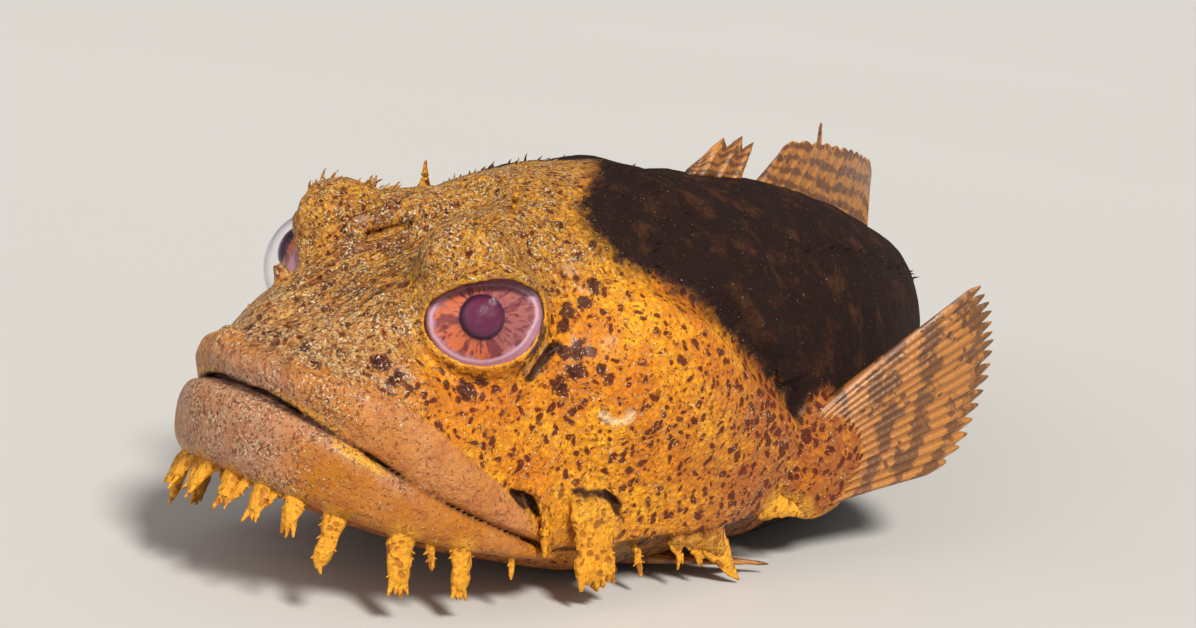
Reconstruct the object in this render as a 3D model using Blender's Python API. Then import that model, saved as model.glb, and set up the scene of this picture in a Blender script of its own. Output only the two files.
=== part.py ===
"""Life-size toadfish, resting on the floor with its head raised and its tail swung to its right.

The fish is modelled straight, with its length along +X from the upper lip at X = 0, its left side at -Y and the
floor at Z = 0. Every solid is then bent sideways along one smooth midline, cut flat where it meets the floor, and
centred on the origin. Units are metres.
"""

import math

import bmesh
import bpy
import numpy as np
from mathutils import Matrix, Vector

# Driving dimensions
MM = 0.001
GAP = 0.3 * MM
HEAD_LENGTH = 94 * MM
STANDARD_LENGTH = 252 * MM
CAUDAL_LENGTH = 46 * MM
GAPE_LENGTH = 46 * MM
MOUTH_HALF_WIDTH = 31.5 * MM
MOUTH_ROUNDNESS = 2.3
CHIN_JUT = 3 * MM
EYE_RADIUS = 9.8 * MM
CHEEK_CUT = 60 * MM
TAIL_CUTS = (150 * MM, 200 * MM)

# The bend of the body: where it starts and ends along the midline, how far it turns, and how far the tail turns back
BEND_START = 88 * MM
BEND_END = 250 * MM
BEND_ANGLE = math.radians(52)
TAIL_RETURN = math.radians(14)
TAIL_RETURN_START = 215 * MM
TAIL_RETURN_END = 298 * MM

# Outlines along the body: (distance from the upper lip, value), joined by smooth curves
TOP_LINE = ((0, 34.5), (5, 38.3), (10, 42.4), (20, 48.8), (30, 53.3), (40, 57.6), (52, 61.2), (66, 63.4),
            (90, 64.4), (118, 62.2), (150, 55), (190, 46), (220, 41), (252, 39))
BELLY_LINE = ((0, 19), (10, 13.5), (20, 9.5), (30, 6.2), (40, 3.6), (50, 1), (62, -1.5), (130, -1.5),
              (148, 1), (170, 8), (200, 14.5), (230, 18.5), (252, 20.5))
WIDEST_HEIGHT = ((0, 28), (20, 22), (45, 19), (70, 22), (95, 27), (150, 26), (200, 28), (252, 29.7))
HEAD_HALF_WIDTH = ((46, 31.5), (60, 34), (82, 36.5), (94, 36))
BODY_HALF_WIDTH = ((46, 27), (60, 30.5), (80, 32.5), (100, 32.5), (120, 29.5), (150, 22), (180, 15),
                   (210, 10), (240, 6), (252, 4.4))
UPPER_ROUNDNESS = ((0, 2.2), (30, 2.45), (60, 2.2), (95, 2.15), (150, 2.1), (252, 2.0))
LOWER_ROUNDNESS = ((0, 3.6), (40, 3.2), (95, 2.7), (150, 2.3), (252, 2.0))

# Heights round the mouth: where the lips meet, the upper lip's top edge and the lower lip's bottom edge
MOUTH_LINE = ((-3, 34.5), (0, 32.5), (10, 25.7), (20, 19), (30, 13.8), (46, 8), (54, 6))
UPPER_LIP_TOP = ((0, 36.2), (2, 37), (6, 36.9), (12, 34.8), (20, 29.1), (30, 20.3), (40, 12.4), (46, 9.6))
LOWER_LIP_BOTTOM = ((-3, 19.5), (2, 17.6), (6, 15.6), (12, 13.4), (20, 11.2), (30, 9.2), (40, 7.2), (46, 6))

# Fins: where each starts and ends along the body, its number of rays and its ray length
SPINY_DORSAL = (98 * MM, 112 * MM)
SOFT_DORSAL = (119 * MM, 243 * MM)
SOFT_DORSAL_RAYS = 28
ANAL = (158 * MM, 241 * MM)
ANAL_RAYS = 22
ANAL_RAY_LENGTH = 15 * MM
CAUDAL_RAYS = 14
PECTORAL_RAYS = 16
FIN_ROOT_HALF = 0.75 * MM
FIN_TIP_HALF = 0.3 * MM
RAY_RIDGE = 0.45 * MM

SKIN = (0.72, 0.36, 0.05, 1.0)
LIP = (0.62, 0.37, 0.18, 1.0)
FIN = (0.55, 0.27, 0.06, 1.0)
EYE = (0.30, 0.10, 0.16, 1.0)


def smooth_step(value, low, high):
    """0 below low, 1 above high, and a smooth rise between them."""
    share = min(1.0, max(0.0, (value - low) / (high - low)))
    return share * share * (3 - 2 * share)


def curve_at(points, x):
    """The height at x, in metres, of a smooth curve through points given in millimetres."""
    px = [p[0] * MM for p in points]
    py = [p[1] * MM for p in points]
    return curve_value(px, py, x)


def curve_value(px, py, x):
    """A cubic curve through the points, flat at its ends and never past its points between them."""
    if x <= px[0]:
        return py[0]
    if x >= px[-1]:
        return py[-1]
    k = max(i for i in range(len(px) - 1) if px[i] <= x)
    rises = [(py[i + 1] - py[i]) / (px[i + 1] - px[i]) for i in range(len(px) - 1)]

    def slope(i):
        if i == 0:
            return rises[0]
        if i == len(px) - 1:
            return rises[-1]
        a, b = rises[i - 1], rises[i]
        return 0.0 if a * b <= 0 else 2 * a * b / (a + b)

    width = px[k + 1] - px[k]
    t = (x - px[k]) / width
    return ((1 + 2 * t) * (1 - t) ** 2 * py[k] + t * (1 - t) ** 2 * width * slope(k)
            + t * t * (3 - 2 * t) * py[k + 1] + t * t * (t - 1) * width * slope(k + 1))


def roundness_at(points, x):
    """A plain number read from one of the outlines."""
    return curve_at(points, x) / MM


# Meshes and solids

def collection_named(name):
    made = bpy.data.collections.new(name)
    bpy.context.scene.collection.children.link(made)
    return made


def solid_from(name, bm):
    """A mesh object, outward facing, from a bmesh that it uses up."""
    bm.normal_update()
    bmesh.ops.recalc_face_normals(bm, faces=bm.faces[:])
    mesh = bpy.data.meshes.new(name)
    bm.to_mesh(mesh)
    bm.free()
    made = bpy.data.objects.new(name, mesh)
    workshop.objects.link(made)
    return made


def loft(name, rings):
    """A closed solid through a row of rings with the same number of points."""
    bm = bmesh.new()
    rows = [[bm.verts.new(p) for p in ring] for ring in rings]
    count = len(rows[0])
    for first, second in zip(rows, rows[1:]):
        for i in range(count):
            j = (i + 1) % count
            bm.faces.new((first[i], first[j], second[j], second[i]))
    bm.faces.new(rows[0])
    bm.faces.new(rows[-1][::-1])
    return solid_from(name, bm)


def ellipsoid(name, centre, radii, axes=None, segments=20, rings=12):
    """A stretched ball. axes holds three perpendicular directions for the three radii."""
    bm = bmesh.new()
    bmesh.ops.create_uvsphere(bm, u_segments=segments, v_segments=rings, radius=1)
    turn = Matrix(axes or ((1, 0, 0), (0, 1, 0), (0, 0, 1))).transposed()
    for vert in bm.verts:
        vert.co = Vector(centre) + turn @ Vector([vert.co[i] * radii[i] for i in range(3)])
    return solid_from(name, bm)


def box(name, low, high):
    bm = bmesh.new()
    bmesh.ops.create_cube(bm, size=1)
    for vert in bm.verts:
        vert.co = Vector([(low[i] + high[i]) / 2 + vert.co[i] * (high[i] - low[i]) for i in range(3)])
    return solid_from(name, bm)


def prism(name, outline, half_width):
    """An outline in X and Z, drawn out to both sides along Y."""
    return loft(name, [[(x, y, z) for x, z in outline] for y in (-half_width, half_width)])


def boolean(target, operation, others):
    """Joins or cuts target by closed solids, keeps its largest closed surface and removes the solids used."""
    tools = collection_named("tools")
    for other in others:
        workshop.objects.unlink(other)
        tools.objects.link(other)
    modifier = target.modifiers.new("cut", "BOOLEAN")
    modifier.operation = operation
    modifier.solver = "MANIFOLD"
    modifier.operand_type = "COLLECTION"
    modifier.collection = tools
    graph = bpy.context.evaluated_depsgraph_get()
    graph.update()
    result = bpy.data.meshes.new_from_object(target.evaluated_get(graph))
    target.modifiers.clear()
    target.data = result
    for other in others:
        bpy.data.objects.remove(other)
    bpy.data.collections.remove(tools)
    keep_largest(target)
    return target


def keep_largest(target):
    """Drops every closed surface of the object but the one with the most volume."""
    bm = bmesh.new()
    bm.from_mesh(target.data)
    bmesh.ops.remove_doubles(bm, verts=bm.verts[:], dist=0.002 * MM)
    bmesh.ops.dissolve_degenerate(bm, edges=bm.edges[:], dist=0.002 * MM)
    bmesh.ops.triangulate(bm, faces=bm.faces[:])
    left = set(bm.faces)
    bodies = []
    while left:
        stack = [left.pop()]
        body = []
        while stack:
            face = stack.pop()
            body.append(face)
            for edge in face.edges:
                for near in edge.link_faces if len(edge.link_faces) == 2 else ():
                    if near in left:
                        left.remove(near)
                        stack.append(near)
        bodies.append(body)
    bodies.sort(key=lambda faces: -abs(volume_of(faces)))
    loose = [face for body in bodies[1:] for face in body]
    bmesh.ops.delete(bm, geom=loose, context="FACES")
    stray = [vert for vert in bm.verts if not vert.link_faces]
    bmesh.ops.delete(bm, geom=stray, context="VERTS")
    bm.to_mesh(target.data)
    bm.free()


def volume_of(faces):
    total = 0.0
    for face in faces:
        a, b, c = (vert.co for vert in face.verts)
        total += a.dot(b.cross(c)) / 6
    return total


def mirrored(source, name):
    """The same solid on the fish's other side."""
    bm = bmesh.new()
    bm.from_mesh(source.data)
    for vert in bm.verts:
        vert.co.y = -vert.co.y
    return solid_from(name, bm)


def join(name, pieces):
    target, others = pieces[0], pieces[1:]
    target.name = name
    return boolean(target, "UNION", others) if others else target


def cut(target, *tools):
    return boolean(target, "DIFFERENCE", list(tools))


def common(target, tool):
    return boolean(target, "INTERSECT", [tool])


# The body's outer form

def mouth_outline_width(x):
    """Half the width of the rounded front of the head, seen from above."""
    share = min(1.0, max(0.0, 1 - x / GAPE_LENGTH))
    return MOUTH_HALF_WIDTH * (1 - share ** MOUTH_ROUNDNESS) ** (1 / MOUTH_ROUNDNESS)


def head_half_width(x):
    if x < GAPE_LENGTH:
        return mouth_outline_width(x)
    return curve_at(HEAD_HALF_WIDTH, x)


def body_half_width(x):
    return curve_at(BODY_HALF_WIDTH, x)


def section(x, half_width, grow, around):
    """One ring of the fish at x: a rounded outline with its own upper and lower roundness."""
    top = curve_at(TOP_LINE, x) + grow
    low = curve_at(BELLY_LINE, x) - grow
    middle = curve_at(WIDEST_HEIGHT, x)
    width = half_width + grow
    ring = []
    for i in range(around):
        angle = 2 * math.pi * (i + 0.5) / around
        c, s = math.cos(angle), math.sin(angle)
        power = 2 / roundness_at(UPPER_ROUNDNESS if s > 0 else LOWER_ROUNDNESS, x)
        reach = top - middle if s > 0 else middle - low
        ring.append((width * math.copysign(abs(c) ** power, c), middle + reach * math.copysign(abs(s) ** power, s)))
    return ring


def body_solid(name, stations, width_at, grow=0.0, around=28):
    rings = [[(x, y, z) for y, z in section(x, width_at(x), grow, around)] for x in stations]
    return loft(name, rings)


def spread(low, high, count, power=1.0):
    """Evenly spaced stations, closer together near low where power is over 1."""
    return [low + (high - low) * (i / (count - 1)) ** power for i in range(count)]


HEAD_INSET = 2 * MM


def head_core_width(x):
    """The head under the lips: inset from the lips' outline at the mouth and at full width behind it."""
    inset = HEAD_INSET * (1 - smooth_step(x, 0.8 * GAPE_LENGTH, 1.15 * GAPE_LENGTH))
    return max(3 * MM, head_half_width(x) - inset)


def head_solid(name="head_form"):
    stations = spread(2 * MM, HEAD_LENGTH + 2 * MM, 20, 1.5)
    form = body_solid(name, stations, head_core_width)
    rear_curve = rear_outline()
    return common(form, prism("rear_curve", rear_curve, 60 * MM))


def rear_outline():
    """Side view of the head's rear edge: a rounded gill cover, open in front."""
    centre_x, centre_z, radius_x, radius_z = 62 * MM, 29 * MM, 33 * MM, 39 * MM
    arc = [(centre_x + radius_x * math.cos(a), centre_z + radius_z * math.sin(a))
           for a in (math.radians(-90 + 180 * i / 12) for i in range(13))]
    return arc + [(-20 * MM, centre_z + radius_z), (-20 * MM, centre_z - radius_z)]


def trunk_solid(name, grow=0.0, start=CHEEK_CUT - 6 * MM, end=STANDARD_LENGTH, count=25):
    return body_solid(name, spread(start, end, count, 1.05), body_half_width, grow)


# The mouth

def gape_height(x):
    return curve_at(MOUTH_LINE, x)


def lip_frames(inset, top, low, forward, steps, reach):
    """Points round the mouth from the left corner to the right, midway between the heights top and low. Each comes
    with its outward and upward directions and half the band's height there."""
    frames = []
    halves = []
    for i in range(steps):
        angle = reach * math.pi / 2 * (2 * i / (steps - 1) - 1)
        power = 2 / MOUTH_ROUNDNESS
        length, width = GAPE_LENGTH - inset, MOUTH_HALF_WIDTH - inset
        x = inset + length * (1 - math.cos(angle) ** power)
        y = width * math.copysign(abs(math.sin(angle)) ** power, angle)
        front_x = x - forward * (1 - x / GAPE_LENGTH)
        frames.append(Vector((front_x, y, (top(front_x) + low(front_x)) / 2)))
        halves.append((top(front_x) - low(front_x)) / 2)
    directed = []
    for i, point in enumerate(frames):
        along = (frames[min(i + 1, steps - 1)] - frames[max(i - 1, 0)]).normalized()
        outward = Vector((-along.y, along.x, 0)).normalized() * -1
        if outward.dot(Vector((point.x - 30 * MM, point.y, 0))) < 0:
            outward = -outward
        upward = outward.cross(along).normalized()
        if upward.z < 0:
            upward = -upward
        directed.append((point, outward, upward, halves[i] * upward.z))
    return directed


def lip_solid(name, frames, half_thick_at, grow=0.0, around=10):
    """A band of rounded section along the frames, closing at both corners of the mouth."""
    rings = []
    last = len(frames) - 1
    for i, (point, outward, upward, half_height) in enumerate(frames):
        taper = math.sqrt(max(0.05, 1 - (abs(2 * i / last - 1)) ** 12))
        tall = half_height * taper + grow
        thick = half_thick_at(point.x) * taper + grow
        rings.append([point + outward * thick * math.copysign(abs(math.cos(a)) ** 0.8, math.cos(a))
                      + upward * tall * math.copysign(abs(math.sin(a)) ** 0.8, math.sin(a))
                      for a in (2 * math.pi * (k + 0.5) / around for k in range(around))])
    return loft(name, rings)


def upper_lip(name, grow=0.0):
    frames = lip_frames(3 * MM, lambda x: curve_at(UPPER_LIP_TOP, x), lambda x: gape_height(x) + GAP / 2,
                        0.0, 29, 0.98)
    return lip_solid(name, frames, lambda x: curve_at(((0, 3.2), (46, 2.2)), x), grow)


def lower_lip(name, grow=0.0):
    """The lower lip and chin rim, with the fringe of barbels under it."""
    frames = lip_frames(3 * MM, lambda x: gape_height(x) - GAP / 2, lambda x: curve_at(LOWER_LIP_BOTTOM, x),
                        CHIN_JUT, 29, 0.98)
    lip = lip_solid(name, frames, lambda x: curve_at(((-3, 3.8), (46, 2)), x), grow)
    return cut(join(name, [lip, *both_sides(barbels(grow))]), upper_lip("upper_clear", GAP))


def jaw_region(grow=0.0):
    """What lies below the line of the mouth and in front of the jaw's hinge."""
    hinge = 52 * MM
    front = -20 * MM
    line = [(x, gape_height(x) + grow) for x in (0, 10 * MM, 20 * MM, 30 * MM, 40 * MM)]
    outline = [(front, gape_height(0) + 12 * MM), *line, (hinge + grow, gape_height(hinge) + grow),
               (hinge + grow, -20 * MM), (front, -20 * MM)]
    return prism("jaw_region", outline, 60 * MM)


# The eyes and their lids

EYE_CENTRE = Vector((31, -19, 45)) * MM
EYE_AXIS = Vector((-0.55, -0.78, 0.30)).normalized()
EYE_LONG = (Vector((1, 0, 0)) - EYE_AXIS * EYE_AXIS.x).normalized()
EYE_TALL = EYE_AXIS.cross(EYE_LONG)
EYE_STRETCH = (1.03, 0.94, 1.0)
LID_DISTANCE = 4.2 * MM
LID_THICKNESS = 1.5 * MM


def eye_solid(name, grow=0.0):
    radii = [EYE_RADIUS * s + grow for s in EYE_STRETCH]
    return ellipsoid(name, EYE_CENTRE, radii, (EYE_LONG, EYE_TALL, EYE_AXIS), 18, 11)


def lid_solid(name):
    """The ring of skin round the eye."""
    circle = math.sqrt(EYE_RADIUS ** 2 - LID_DISTANCE ** 2)
    rings = []
    steps = 20
    for i in range(steps):
        angle = 2 * math.pi * i / steps
        out = EYE_LONG * math.cos(angle) * EYE_STRETCH[0] + EYE_TALL * math.sin(angle) * EYE_STRETCH[1]
        centre = EYE_CENTRE + EYE_AXIS * (LID_DISTANCE - 0.6 * MM) + out * (circle + 0.9 * MM)
        out.normalize()
        rings.append([centre + (out * math.cos(b) + EYE_AXIS * math.sin(b)) * LID_THICKNESS
                      for b in (2 * math.pi * k / 5 for k in range(5))])
    bm = bmesh.new()
    rows = [[bm.verts.new(p) for p in ring] for ring in rings]
    for i in range(steps):
        for k in range(5):
            first, second = rows[i], rows[(i + 1) % steps]
            bm.faces.new((first[k], first[(k + 1) % 5], second[(k + 1) % 5], second[k]))
    return solid_from(name, bm)


# Flaps, barbels and spines

def tapered(name, points, widths, thickness, flat_axis, around=6, grow=0.0):
    """A tapering lobe along points. Its width runs along flat_axis and its thickness is a share of its width."""
    rings = []
    last = len(points) - 1
    for i, point in enumerate(points):
        along = (points[min(i + 1, last)] - points[max(i - 1, 0)]).normalized()
        wide = (flat_axis - along * flat_axis.dot(along)).normalized()
        thin = along.cross(wide)
        half_thick = max(0.25 * MM, widths[i] * thickness) + grow
        rings.append([point + wide * (widths[i] + grow) * math.cos(a) + thin * half_thick * math.sin(a)
                      for a in (2 * math.pi * k / around for k in range(around))])
    return loft(name, rings)


def lobe(name, root, direction, length, width, flat_axis, thickness=0.45, curl=Vector((0, 0, 0)), sink=2 * MM,
         steps=3, grow=0.0):
    """A skin flap or barbel that leaves the skin at root and tapers to its tip, bent by curl along the way."""
    direction = Vector(direction).normalized()
    start = Vector(root) - direction * sink
    total = length + sink + grow
    points = [start + direction * total * t + Vector(curl) * t * t for t in (i / steps for i in range(steps + 1))]
    widths = [width * (1 - 0.78 * t ** 1.6) for t in (i / steps for i in range(steps + 1))]
    return tapered(name, points, widths, thickness, Vector(flat_axis).normalized(), 5, grow)


def jaw_point(share, rise):
    """A point in the lower lip, rise above its lower edge: share is 0 at the chin and 1 at the mouth's corner."""
    power = 2 / MOUTH_ROUNDNESS
    angle = share * math.pi / 2
    inset = 2.4 * MM
    x = inset + (GAPE_LENGTH - inset) * (1 - math.cos(angle) ** power)
    y = -(MOUTH_HALF_WIDTH - inset) * math.sin(angle) ** power
    front_x = x - CHIN_JUT * (1 - x / GAPE_LENGTH)
    return Vector((front_x, y, curve_at(LOWER_LIP_BOTTOM, front_x) + rise))


# Barbels under the left half of the lower lip: share round the jaw, length, half width, and whether the tip is forked
BARBELS = ((0.05, 6, 1.3, False), (0.14, 7.5, 1.4, False), (0.20, 5, 0.8, False), (0.26, 7, 1.3, True),
           (0.38, 9, 1.2, False), (0.58, 8.5, 1.7, True), (0.65, 5, 0.8, False), (0.75, 8, 1.6, False),
           (0.88, 4.5, 0.7, False))


def barbels(grow=0.0):
    """The fringe of barbels along the lower lip's left edge, each with its root sunk in the lip."""
    pieces = []
    for number, (share, length, width, forked) in enumerate(BARBELS):
        width *= MM
        root = jaw_point(share, 0.8 * MM)
        length = min(length * MM, root.z - 1.2 * MM)
        outward = Vector((root.x - 24 * MM, root.y, 0)).normalized()
        along = Vector((-outward.y, outward.x, 0))
        sway = along * (0.15 if number % 2 else -0.12)
        direction = (outward * 0.3 + sway + Vector((0, 0, -1))).normalized()
        sink = min(2.2 * MM, (gape_height(root.x) - root.z) * 0.5)
        pieces.append(lobe(f"barbel_{number}", root, direction, length, width, along, 0.55, outward * -0.8 * MM,
                           sink, 3, grow))
        if forked:
            split = root + direction * length * 0.5
            side = (direction + along * 0.6).normalized()
            pieces.append(lobe(f"barbel_fork_{number}", split, side, length * 0.35, width * 0.45, along, 0.7,
                               outward * -0.3 * MM, 1.3 * MM, 2, grow))
    return pieces


def both_sides(pieces):
    return pieces + [mirrored(piece, piece.name + "_right") for piece in pieces]


# Flaps on the left side of the head: (root, direction, length, half width, thickness share)
CROWN_FLAPS = (((36, -14.5, 59.5), (0.3, -0.25, 1), 3.0, 1.3), ((29, -18, 58), (-0.1, -0.5, 1), 2.2, 0.9),
               ((42, -14, 59), (0.5, -0.3, 1), 2.2, 0.9), ((52, -8, 60.4), (0.25, -0.2, 1), 4.0, 1.3),
               ((66, -11, 61.6), (0.5, -0.3, 1), 2.6, 1.0))
CHEEK_FLAP = ((48, -32.4, 14), (0.25, -0.12, -1), 12.5, 4.0)
COVER_FLAPS = (((79, -32.5, 6.5), (0.55, -0.35, -0.9), 7.5, 2.2), ((72, -32, 6.5), (0.2, -0.3, -1), 3.5, 1.3),
               ((65, -31, 6.5), (0.1, -0.3, -1), 3.5, 1.2))
COVER_SPINES = (((91, -34.6, 36), (1, -0.25, 0.12), 6.5, 1.5),
                ((91.5, -33.6, 12.5), (1, -0.22, -0.32), 8.5, 2.6))


def flaps(name, table, thickness=0.4, curl=Vector((0, 0, 0)), sink=2 * MM, grow=0.0):
    pieces = []
    for number, (root, direction, length, width) in enumerate(table):
        across = Vector(direction).cross(Vector((0, 1, 0)))
        pieces.append(lobe(f"{name}_{number}", Vector(root) * MM, direction, length * MM, width * MM, across,
                           thickness, curl, sink, 3, grow))
    return pieces


def nostril(name, base, direction, length, radius):
    """A short open tube of skin."""
    axis = Vector(direction).normalized()
    side = axis.cross(Vector((0, 0, 1))).normalized()
    other = axis.cross(side)
    base = Vector(base) * MM

    def ring(distance, size):
        return [base + axis * distance + (side * math.cos(a) + other * math.sin(a)) * size
                for a in (2 * math.pi * k / 8 for k in range(8))]

    tube = loft(name, [ring(-2 * MM, radius * 1.5), ring(0, radius * 1.35), ring(length, radius)])
    bore = loft(name + "_bore", [ring(length * 0.1, radius * 0.35), ring(length + 1 * MM, radius * 0.65)])
    return cut(tube, bore)


# Fins

def fin_sheet(name, rows, half_at, normal_at):
    """A closed sheet over a grid of points: half_at gives half its thickness and normal_at its direction there.
    Both faces are split into triangles alike."""
    bm = bmesh.new()
    height, width = len(rows), len(rows[0])
    sides = []
    for sign in (1, -1):
        sides.append([[bm.verts.new(rows[i][j] + normal_at(i, j) * sign * half_at(i, j)) for j in range(width)]
                      for i in range(height)])
    for side, flip in zip(sides, (False, True)):
        for i in range(height - 1):
            for j in range(width - 1):
                a, b, c, d = side[i][j], side[i][j + 1], side[i + 1][j + 1], side[i + 1][j]
                for triangle in ((a, b, c), (a, c, d)):
                    bm.faces.new(triangle[::-1] if flip else triangle)
    border = ([(0, j) for j in range(width - 1)] + [(i, width - 1) for i in range(height - 1)]
              + [(height - 1, j) for j in range(width - 1, 0, -1)] + [(i, 0) for i in range(height - 1, 0, -1)])
    for (i, j), (k, m) in zip(border, border[1:] + border[:1]):
        bm.faces.new((sides[0][i][j], sides[1][i][j], sides[1][k][m], sides[0][k][m]))
    return solid_from(name, bm)


def ray_fin(name, rays, root_at, tip_at, rows=3, normal=Vector((0, 1, 0)), bow=Vector((0, 0, 0)), scallop=0.06,
            root_half=FIN_ROOT_HALF):
    """A fin with a ridge on each ray and a notch in its edge between rays. root_at and tip_at give its two edges."""
    columns = 2 * rays + 1
    grid = []
    for i in range(rows + 1):
        t = i / rows
        line = []
        for j in range(columns):
            u = j / (columns - 1)
            root, tip = root_at(u), tip_at(u)
            reach = 1.0 if j % 2 else 1.0 - scallop
            point = root.lerp(tip, t * (reach if i == rows else 1.0))
            line.append(point + bow * math.sin(math.pi * t * 0.5) * t)
        grid.append(line)

    def half_at(i, j):
        t = i / rows
        web = root_half * (1 - t) + FIN_TIP_HALF * t
        return web + (RAY_RIDGE * (1 - 0.6 * t) if j % 2 else 0.0)

    return fin_sheet(name, grid, half_at, lambda i, j: normal)


def dorsal_height(x):
    """Length of the soft dorsal fin's rays, lowest at both ends."""
    low, high = SOFT_DORSAL
    share = (x - low) / (high - low)
    return (10 + 7 * math.sin(math.pi * min(1.0, max(0.0, share)) ** 0.8)) * MM


def dorsal_part(name, low, high, rays):
    def root_at(u):
        x = low + (high - low) * u
        return Vector((x, 0, curve_at(TOP_LINE, x) + GAP))

    def tip_at(u):
        root = root_at(u)
        tall = dorsal_height(root.x)
        return root + Vector((tall * 0.74, 0, tall * 0.67))

    return ray_fin(name, rays, root_at, tip_at)


def spiny_dorsal(name):
    """Three short stout spines joined by thick skin."""
    low, high = SPINY_DORSAL
    heights = ((0, 3), (0.17, 8.5), (0.33, 6.5), (0.5, 9.5), (0.67, 6.5), (0.83, 8.5), (1, 2.5))

    def root_at(u):
        x = low + (high - low) * u
        return Vector((x, 0, curve_at(TOP_LINE, x) + GAP))

    grid = []
    rows = 4
    for i in range(rows + 1):
        line = []
        for u, tall in heights:
            root = root_at(u)
            tip = root + Vector((tall * 0.7, 0, tall * 0.71)) * MM
            line.append(root.lerp(tip, i / rows))
        grid.append(line)
    return fin_sheet(name, grid, lambda i, j: (1.5 if j % 2 else 0.9) * MM * (1 - 0.72 * i / rows),
                     lambda i, j: Vector((0, 1, 0)))


def anal_part(name, low, high, rays):
    """The anal fin, swept back more where the body lies close to the floor."""
    def root_at(u):
        x = low + (high - low) * u
        return Vector((x, 0, curve_at(BELLY_LINE, x) - GAP))

    def tip_at(u):
        root = root_at(u)
        drop = min(root.z - 0.6 * MM, 0.82 * ANAL_RAY_LENGTH)
        return root + Vector((math.sqrt(ANAL_RAY_LENGTH ** 2 - drop ** 2), 0, -drop))

    return ray_fin(name, rays, root_at, tip_at)


def caudal_fin(name):
    """A rounded fan on the end of the tail stalk."""
    root_x = STANDARD_LENGTH + GAP
    centre = (curve_at(TOP_LINE, STANDARD_LENGTH) + curve_at(BELLY_LINE, STANDARD_LENGTH)) / 2
    half = (curve_at(TOP_LINE, STANDARD_LENGTH) - curve_at(BELLY_LINE, STANDARD_LENGTH)) / 2 - 0.6 * MM

    def root_at(u):
        return Vector((root_x, 0, centre + half * (2 * u - 1)))

    def tip_at(u):
        angle = math.radians(32) * (2 * u - 1)
        reach = CAUDAL_LENGTH * (1 - 0.10 * abs(2 * u - 1) ** 3)
        return root_at(u) + Vector((math.cos(angle) * reach, 0, math.sin(angle) * reach))

    return ray_fin(name, CAUDAL_RAYS, root_at, tip_at, rows=4, root_half=1.3 * MM)


PECTORAL_BASE_TOP = Vector((101, -33.5, 29)) * MM
PECTORAL_BASE_LOW = Vector((100, -32.5, 9.5)) * MM
PECTORAL_LENGTH = 40 * MM


def cover_edges(grow=0.0):
    """The spines and flaps along the gill cover's edge."""
    return (flaps("cover_spine", COVER_SPINES, 0.45, Vector((0, 0, 0)), 3 * MM, grow)
            + flaps("cover_flap", COVER_FLAPS, 0.35, Vector((0, 0, 0)), 2 * MM, grow))


def pectoral_fin(name):
    """A broad fan behind the gill cover, folded half back, on a fleshy base."""
    top_way = Vector((0.72, -0.22, 0.64)).normalized()
    low_way = Vector((0.91, -0.22, 0.22)).normalized()

    def root_at(u):
        return PECTORAL_BASE_TOP.lerp(PECTORAL_BASE_LOW, u)

    def tip_at(u):
        way = top_way.lerp(low_way, u).normalized()
        reach = PECTORAL_LENGTH * (0.78 + 0.22 * math.sin(math.pi * (0.15 + 0.6 * u)) - 0.22 * u ** 4)
        tip = root_at(u) + way * reach
        tip.z = max(tip.z, 1.0 * MM)
        return tip

    across = (tip_at(0.5) - root_at(0.5)).cross(PECTORAL_BASE_TOP - PECTORAL_BASE_LOW).normalized()
    sheet = ray_fin(name, PECTORAL_RAYS, root_at, tip_at, rows=3, normal=across, bow=across * 2.5 * MM,
                    root_half=1.1 * MM)
    middle = (PECTORAL_BASE_TOP + PECTORAL_BASE_LOW) / 2
    up = (PECTORAL_BASE_TOP - PECTORAL_BASE_LOW).normalized()
    out = (tip_at(0.5) - middle).normalized()
    out = (out - up * out.dot(up)).normalized()
    base = ellipsoid(name + "_base", middle + out * 3 * MM, (11.5 * MM, 9 * MM, 3.4 * MM),
                     (up, out, up.cross(out)), 14, 8)
    return cut(join(name, [sheet, base]), trunk_solid("trunk_clear", GAP), gill_region("cover_clear", GAP),
               *cover_edges(GAP))


def pelvic_fin(name):
    """A narrow fleshy paddle under the throat that lies along the floor."""
    root = Vector((61, -15.5, 3.2)) * MM
    tip = Vector((94, -36, 0.9)) * MM
    steps = 7
    points = [root.lerp(tip, i / steps) + Vector((0, -2.5 * MM, 0)) * math.sin(math.pi * i / steps)
              for i in range(steps + 1)]
    widths = [(4.6 - 3.4 * (i / steps) ** 1.5) * MM for i in range(steps + 1)]
    paddle = tapered(name, points, widths, 0.30, Vector((0.45, 0.9, 0)).normalized(), 8)
    ridges = []
    for side in (-1, 1):
        line = [p + Vector((0.45, 0.9, 0)).normalized() * side * w * 0.42 + Vector((0, 0, w * 0.2))
                for p, w in zip(points, widths)]
        ridges.append(tapered(f"{name}_ray_{side}", line[:-1], [w * 0.24 for w in widths[:-1]], 1.0,
                              Vector((0.45, 0.9, 0)).normalized(), 5))
    return cut(join(name, [paddle, *ridges]), trunk_solid("trunk_clear", GAP), whole_head(GAP),
               gill_region("cover_clear", GAP), *cover_edges(GAP))


# The parts of the head

def whole_head(grow):
    """The head's outer form, grown, as a cutter for what grows beside it."""
    return body_solid("head_clear", spread(2 * MM, CHEEK_CUT + 1 * MM, 20, 1.3), head_core_width, grow)


def gill_region(name, grow=0.0):
    """Both gill covers' outer form, behind the cheek and up to the rounded rear edge."""
    stations = spread(CHEEK_CUT + GAP / 2 - grow, HEAD_LENGTH + 2 * MM, 9)
    form = body_solid(name, stations, head_core_width, grow)
    outline = [(x + (grow if x > 0 else 0), z) for x, z in rear_outline()]
    return common(form, prism("rear_curve", outline, 60 * MM))


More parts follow.
